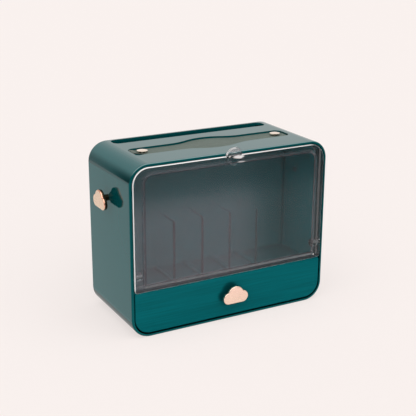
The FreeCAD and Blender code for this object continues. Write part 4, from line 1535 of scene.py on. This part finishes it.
@dataclass
class Studio:
    """Pale floor and surround, soft light, and the camera at the photograph's angle.

    Cards that only gloss and glass see shape the reflections. Each card's cover goes from 0 to 1. A level
    card is its reach in X and Y and its height, an upright one its reach in X, its Y and its reach in Z.
    """

    backdrop: Colour = (0.922, 0.855, 0.831)
    floor_half: float = 14.0
    floor_height: float = -0.0002
    floor_glow: float = 0.72
    floor_matt: float = 0.75
    floor_seen: float = 0.255
    ambient: float = 0.50
    sun_strength: float = 2.7
    sun_from: Point = (-0.15, -0.60, 0.95)
    sun_spread: float = 100.0
    sun_distance: float = 3.0
    dark: Colour = (0.111, 0.103, 0.100)
    bright: Colour = (1.25, 1.03, 1.09)
    rear_dark: Colour = (0.055, 0.051, 0.050)
    cool: Colour = (0.922, 1.17, 1.165)
    far: Span = (0.47, 0.60)
    far_cover: float = 0.75
    near: Span = (0.13, 0.19)
    right: Span = (-0.02, 0.07)
    right_cover: float = 0.55
    right_slant: float = 0.613
    box_front: float = 0.066
    rear_top: Span = (0.10, 0.95)
    rear_right: Span = (-0.90, -0.50)
    side_left: Span = (-0.70, -0.50)
    side_back: Span = (0.70, 0.90)
    wall_top: Span = (1.2, 2.2)
    front_card: Level = ((-3.0, 3.0), (-5.0, -0.12), 0.0004)
    patch_card: Level = ((-1.0, 1.0), (-0.7, -0.12), 0.0008)
    side_card: Level = ((-0.7, -0.15), (-0.12, 0.9), 0.0006)
    wall_card: Upright = ((3.0, -3.0), -2.5, (0.0, 2.2))
    rear_card: Upright = ((-2.6, 0.0), 1.2, (0.0, 1.0))
    azimuth: float = -28.77
    elevation: float = 18.29
    roll: float = 0.25
    distance: float = 1.21975
    lens: float = 80.43
    sensor: float = 36.0
    view_end: float = 100.0
    target: Point = (0.00009, 0.0, 0.13113)

    @staticmethod
    def seen(board: Board) -> Signal:
        """1 for rays that show the surround itself or its image in gloss or glass, else 0."""
        path = board.node("ShaderNodeLightPath", output="Is Camera Ray")
        return path.most(path.out("Is Glossy Ray")).most(path.out("Is Transmission Ray"))

    def world(self) -> None:
        """Makes the surround: pale where it is seen, and an even soft light on the object."""
        made = bpy.data.worlds.new("pale_surround")
        bpy.context.scene.world = made
        board = board_of(made)
        light, pale = (
            board.node("ShaderNodeBackground", {}, {"Color": colour, "Strength": strength})
            for colour, strength in (((1.0, 1.0, 1.0, 1.0), self.ambient), (rgba(self.backdrop), 1.0))
        )
        board.end(board.over(self.seen(board), light, pale), "World")

    @staticmethod
    def sheet(name: str, corners: Sequence[Point], material: bpy.types.Material) -> bpy.types.Object:
        """Makes one flat piece of the stage.

        Args:
            name: Its name.
            corners: Its four corners in order.
            material: What it is made of.

        Returns:
            The object.
        """
        mesh = bpy.data.meshes.new(name)
        mesh.from_pydata(corners, [], [(0, 1, 2, 3)])
        mesh.materials.append(material)
        made = linked(name, mesh)
        made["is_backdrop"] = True
        return made

    def floor(self) -> None:
        """Makes the floor, which glows a little where it is seen and keeps a faint shadow."""
        material = bpy.data.materials.new("studio_floor_paint")
        board = board_of(material)
        matt, faint = (
            board.node("ShaderNodeBsdfDiffuse", {}, {"Color": rgba(self.backdrop, gain)})
            for gain in (self.floor_matt, self.floor_seen)
        )
        glow = board.node(
            "ShaderNodeEmission", {}, {"Color": rgba(self.backdrop), "Strength": self.floor_glow}
        )
        pale = board.node("ShaderNodeAddShader", {}, {0: faint, 1: glow})
        board.end(board.over(self.seen(board), matt, pale))
        sides = (-self.floor_half, self.floor_half)
        self.sheet("studio_floor", level(sides, sides, self.floor_height), material)

    def card(
        self, name: str, corners: Sequence[Point], light: Colour, cover: Callable[[Signal], Signal]
    ) -> None:
        """Makes a card that only gloss and glass see.

        Args:
            name: Name of the card.
            corners: Its corners in order.
            light: Colour and strength of its light.
            cover: Gives the card's cover out of its split coordinates.
        """
        material = bpy.data.materials.new(name + "_cloth")
        board = board_of(material)
        clear = board.node("ShaderNodeBsdfTransparent")
        cloth = board.node("ShaderNodeEmission", {}, {"Color": rgba(light), "Strength": 1.0})
        board.end(board.over(cover(board.spot()), clear, cloth))
        made = self.sheet(name, corners, material)
        made.visible_camera = made.visible_diffuse = made.visible_shadow = False
        made.visible_volume_scatter = False

    def front_parts(self, spot: Signal) -> Tuple[Signal, Signal, Signal]:
        """Shares of the floor in front that are far out, to the right, and clear of the box.

        Args:
            spot: The card's split coordinates.

        Returns:
            The three shares.
        """
        forward = -spot.y
        right = (spot.x + (spot.y + self.box_front) * self.right_slant).rise(*self.right)
        return forward.rise(*self.far), right, forward.rise(*self.near)

    def front_cover(self, spot: Signal) -> Signal:
        """Cover of the card in front: dark far out and to the right, open near the box on the left."""
        far, right, near = self.front_parts(spot)
        return 1.0 - (1.0 - far * self.far_cover) * (1.0 - right * near * self.right_cover)

    def patch_cover(self, spot: Signal) -> Signal:
        """Cover of the bright patch in front on the left."""
        far, right, near = self.front_parts(spot)
        return (1.0 - far) * (1.0 - right) * near

    def rear_cover(self, spot: Signal) -> Signal:
        """Cover of the card behind on the left: dark at its foot, gone at its top and right edge."""
        return spot.z.fall(*self.rear_top) * spot.x.fall(*self.rear_right)

    def side_cover(self, spot: Signal) -> Signal:
        """Cover of the cool card on the floor beside the box, full near it."""
        return spot.x.rise(*self.side_left) * spot.y.fall(*self.side_back)

    def wall_cover(self, spot: Signal) -> Signal:
        """Cover of the wall card behind the camera: dark, and gone at its top."""
        return spot.z.fall(*self.wall_top)

    def cards(self) -> None:
        """Makes the cards that shape the reflections."""
        self.card("front_card", level(*self.front_card), self.dark, self.front_cover)
        self.card("patch_card", level(*self.patch_card), self.bright, self.patch_cover)
        self.card("side_card", level(*self.side_card), self.cool, self.side_cover)
        self.card("wall_card", upright(*self.wall_card), self.dark, self.wall_cover)
        self.card("rear_card", upright(*self.rear_card), self.rear_dark, self.rear_cover)

    def lamps(self) -> None:
        """Makes the soft main light, high in front of the box."""
        light = bpy.data.lights.new("soft_main", "SUN")
        light.energy = self.sun_strength
        light.angle = math.radians(self.sun_spread)
        made = linked("soft_main", light)
        made.rotation_euler = Vector(self.sun_from).to_track_quat("Z", "Y").to_euler()
        made.location = Vector(self.sun_from) * self.sun_distance

    def camera(self) -> None:
        """Makes the camera."""
        turn, lift = math.radians(self.azimuth), math.radians(self.elevation)
        back = Vector((math.sin(turn) * math.cos(lift), -math.cos(turn) * math.cos(lift), math.sin(lift)))
        right = Vector((0.0, 0.0, 1.0)).cross(back).normalized()
        basis = Matrix((right, back.cross(right), back)).transposed().to_4x4()
        data = bpy.data.cameras.new("photo_camera")
        data.lens = self.lens
        data.sensor_width = self.sensor
        data.clip_end = self.view_end
        made = linked("photo_camera", data)
        spot = Matrix.Translation(Vector(self.target) + back * self.distance)
        made.matrix_world = spot @ basis @ Matrix.Rotation(math.radians(self.roll), 4, "Z")
        bpy.context.scene.camera = made

    def build(self) -> None:
        """Makes the whole stage."""
        bpy.context.scene.view_settings.view_transform = "Standard"
        self.camera()
        self.world()
        self.floor()
        self.cards()
        self.lamps()


def main() -> None:
    """Builds the stage and every sub-assembly, and works out the box after them beside the one from before,
    without keeping either.
    """
    logging.basicConfig(level=logging.INFO, format="%(name)s %(message)s")
    for assembly in (Studio(), Case(), Lid(), Drawer(), Dividers(), SideHooks(), CarryStrap()):
        LOG.info("building %s", type(assembly).__name__)
        assembly.build()
    {"cad": CAD_BOX, "visual": plain_bounds()}


if __name__ == "__main__":
    main()
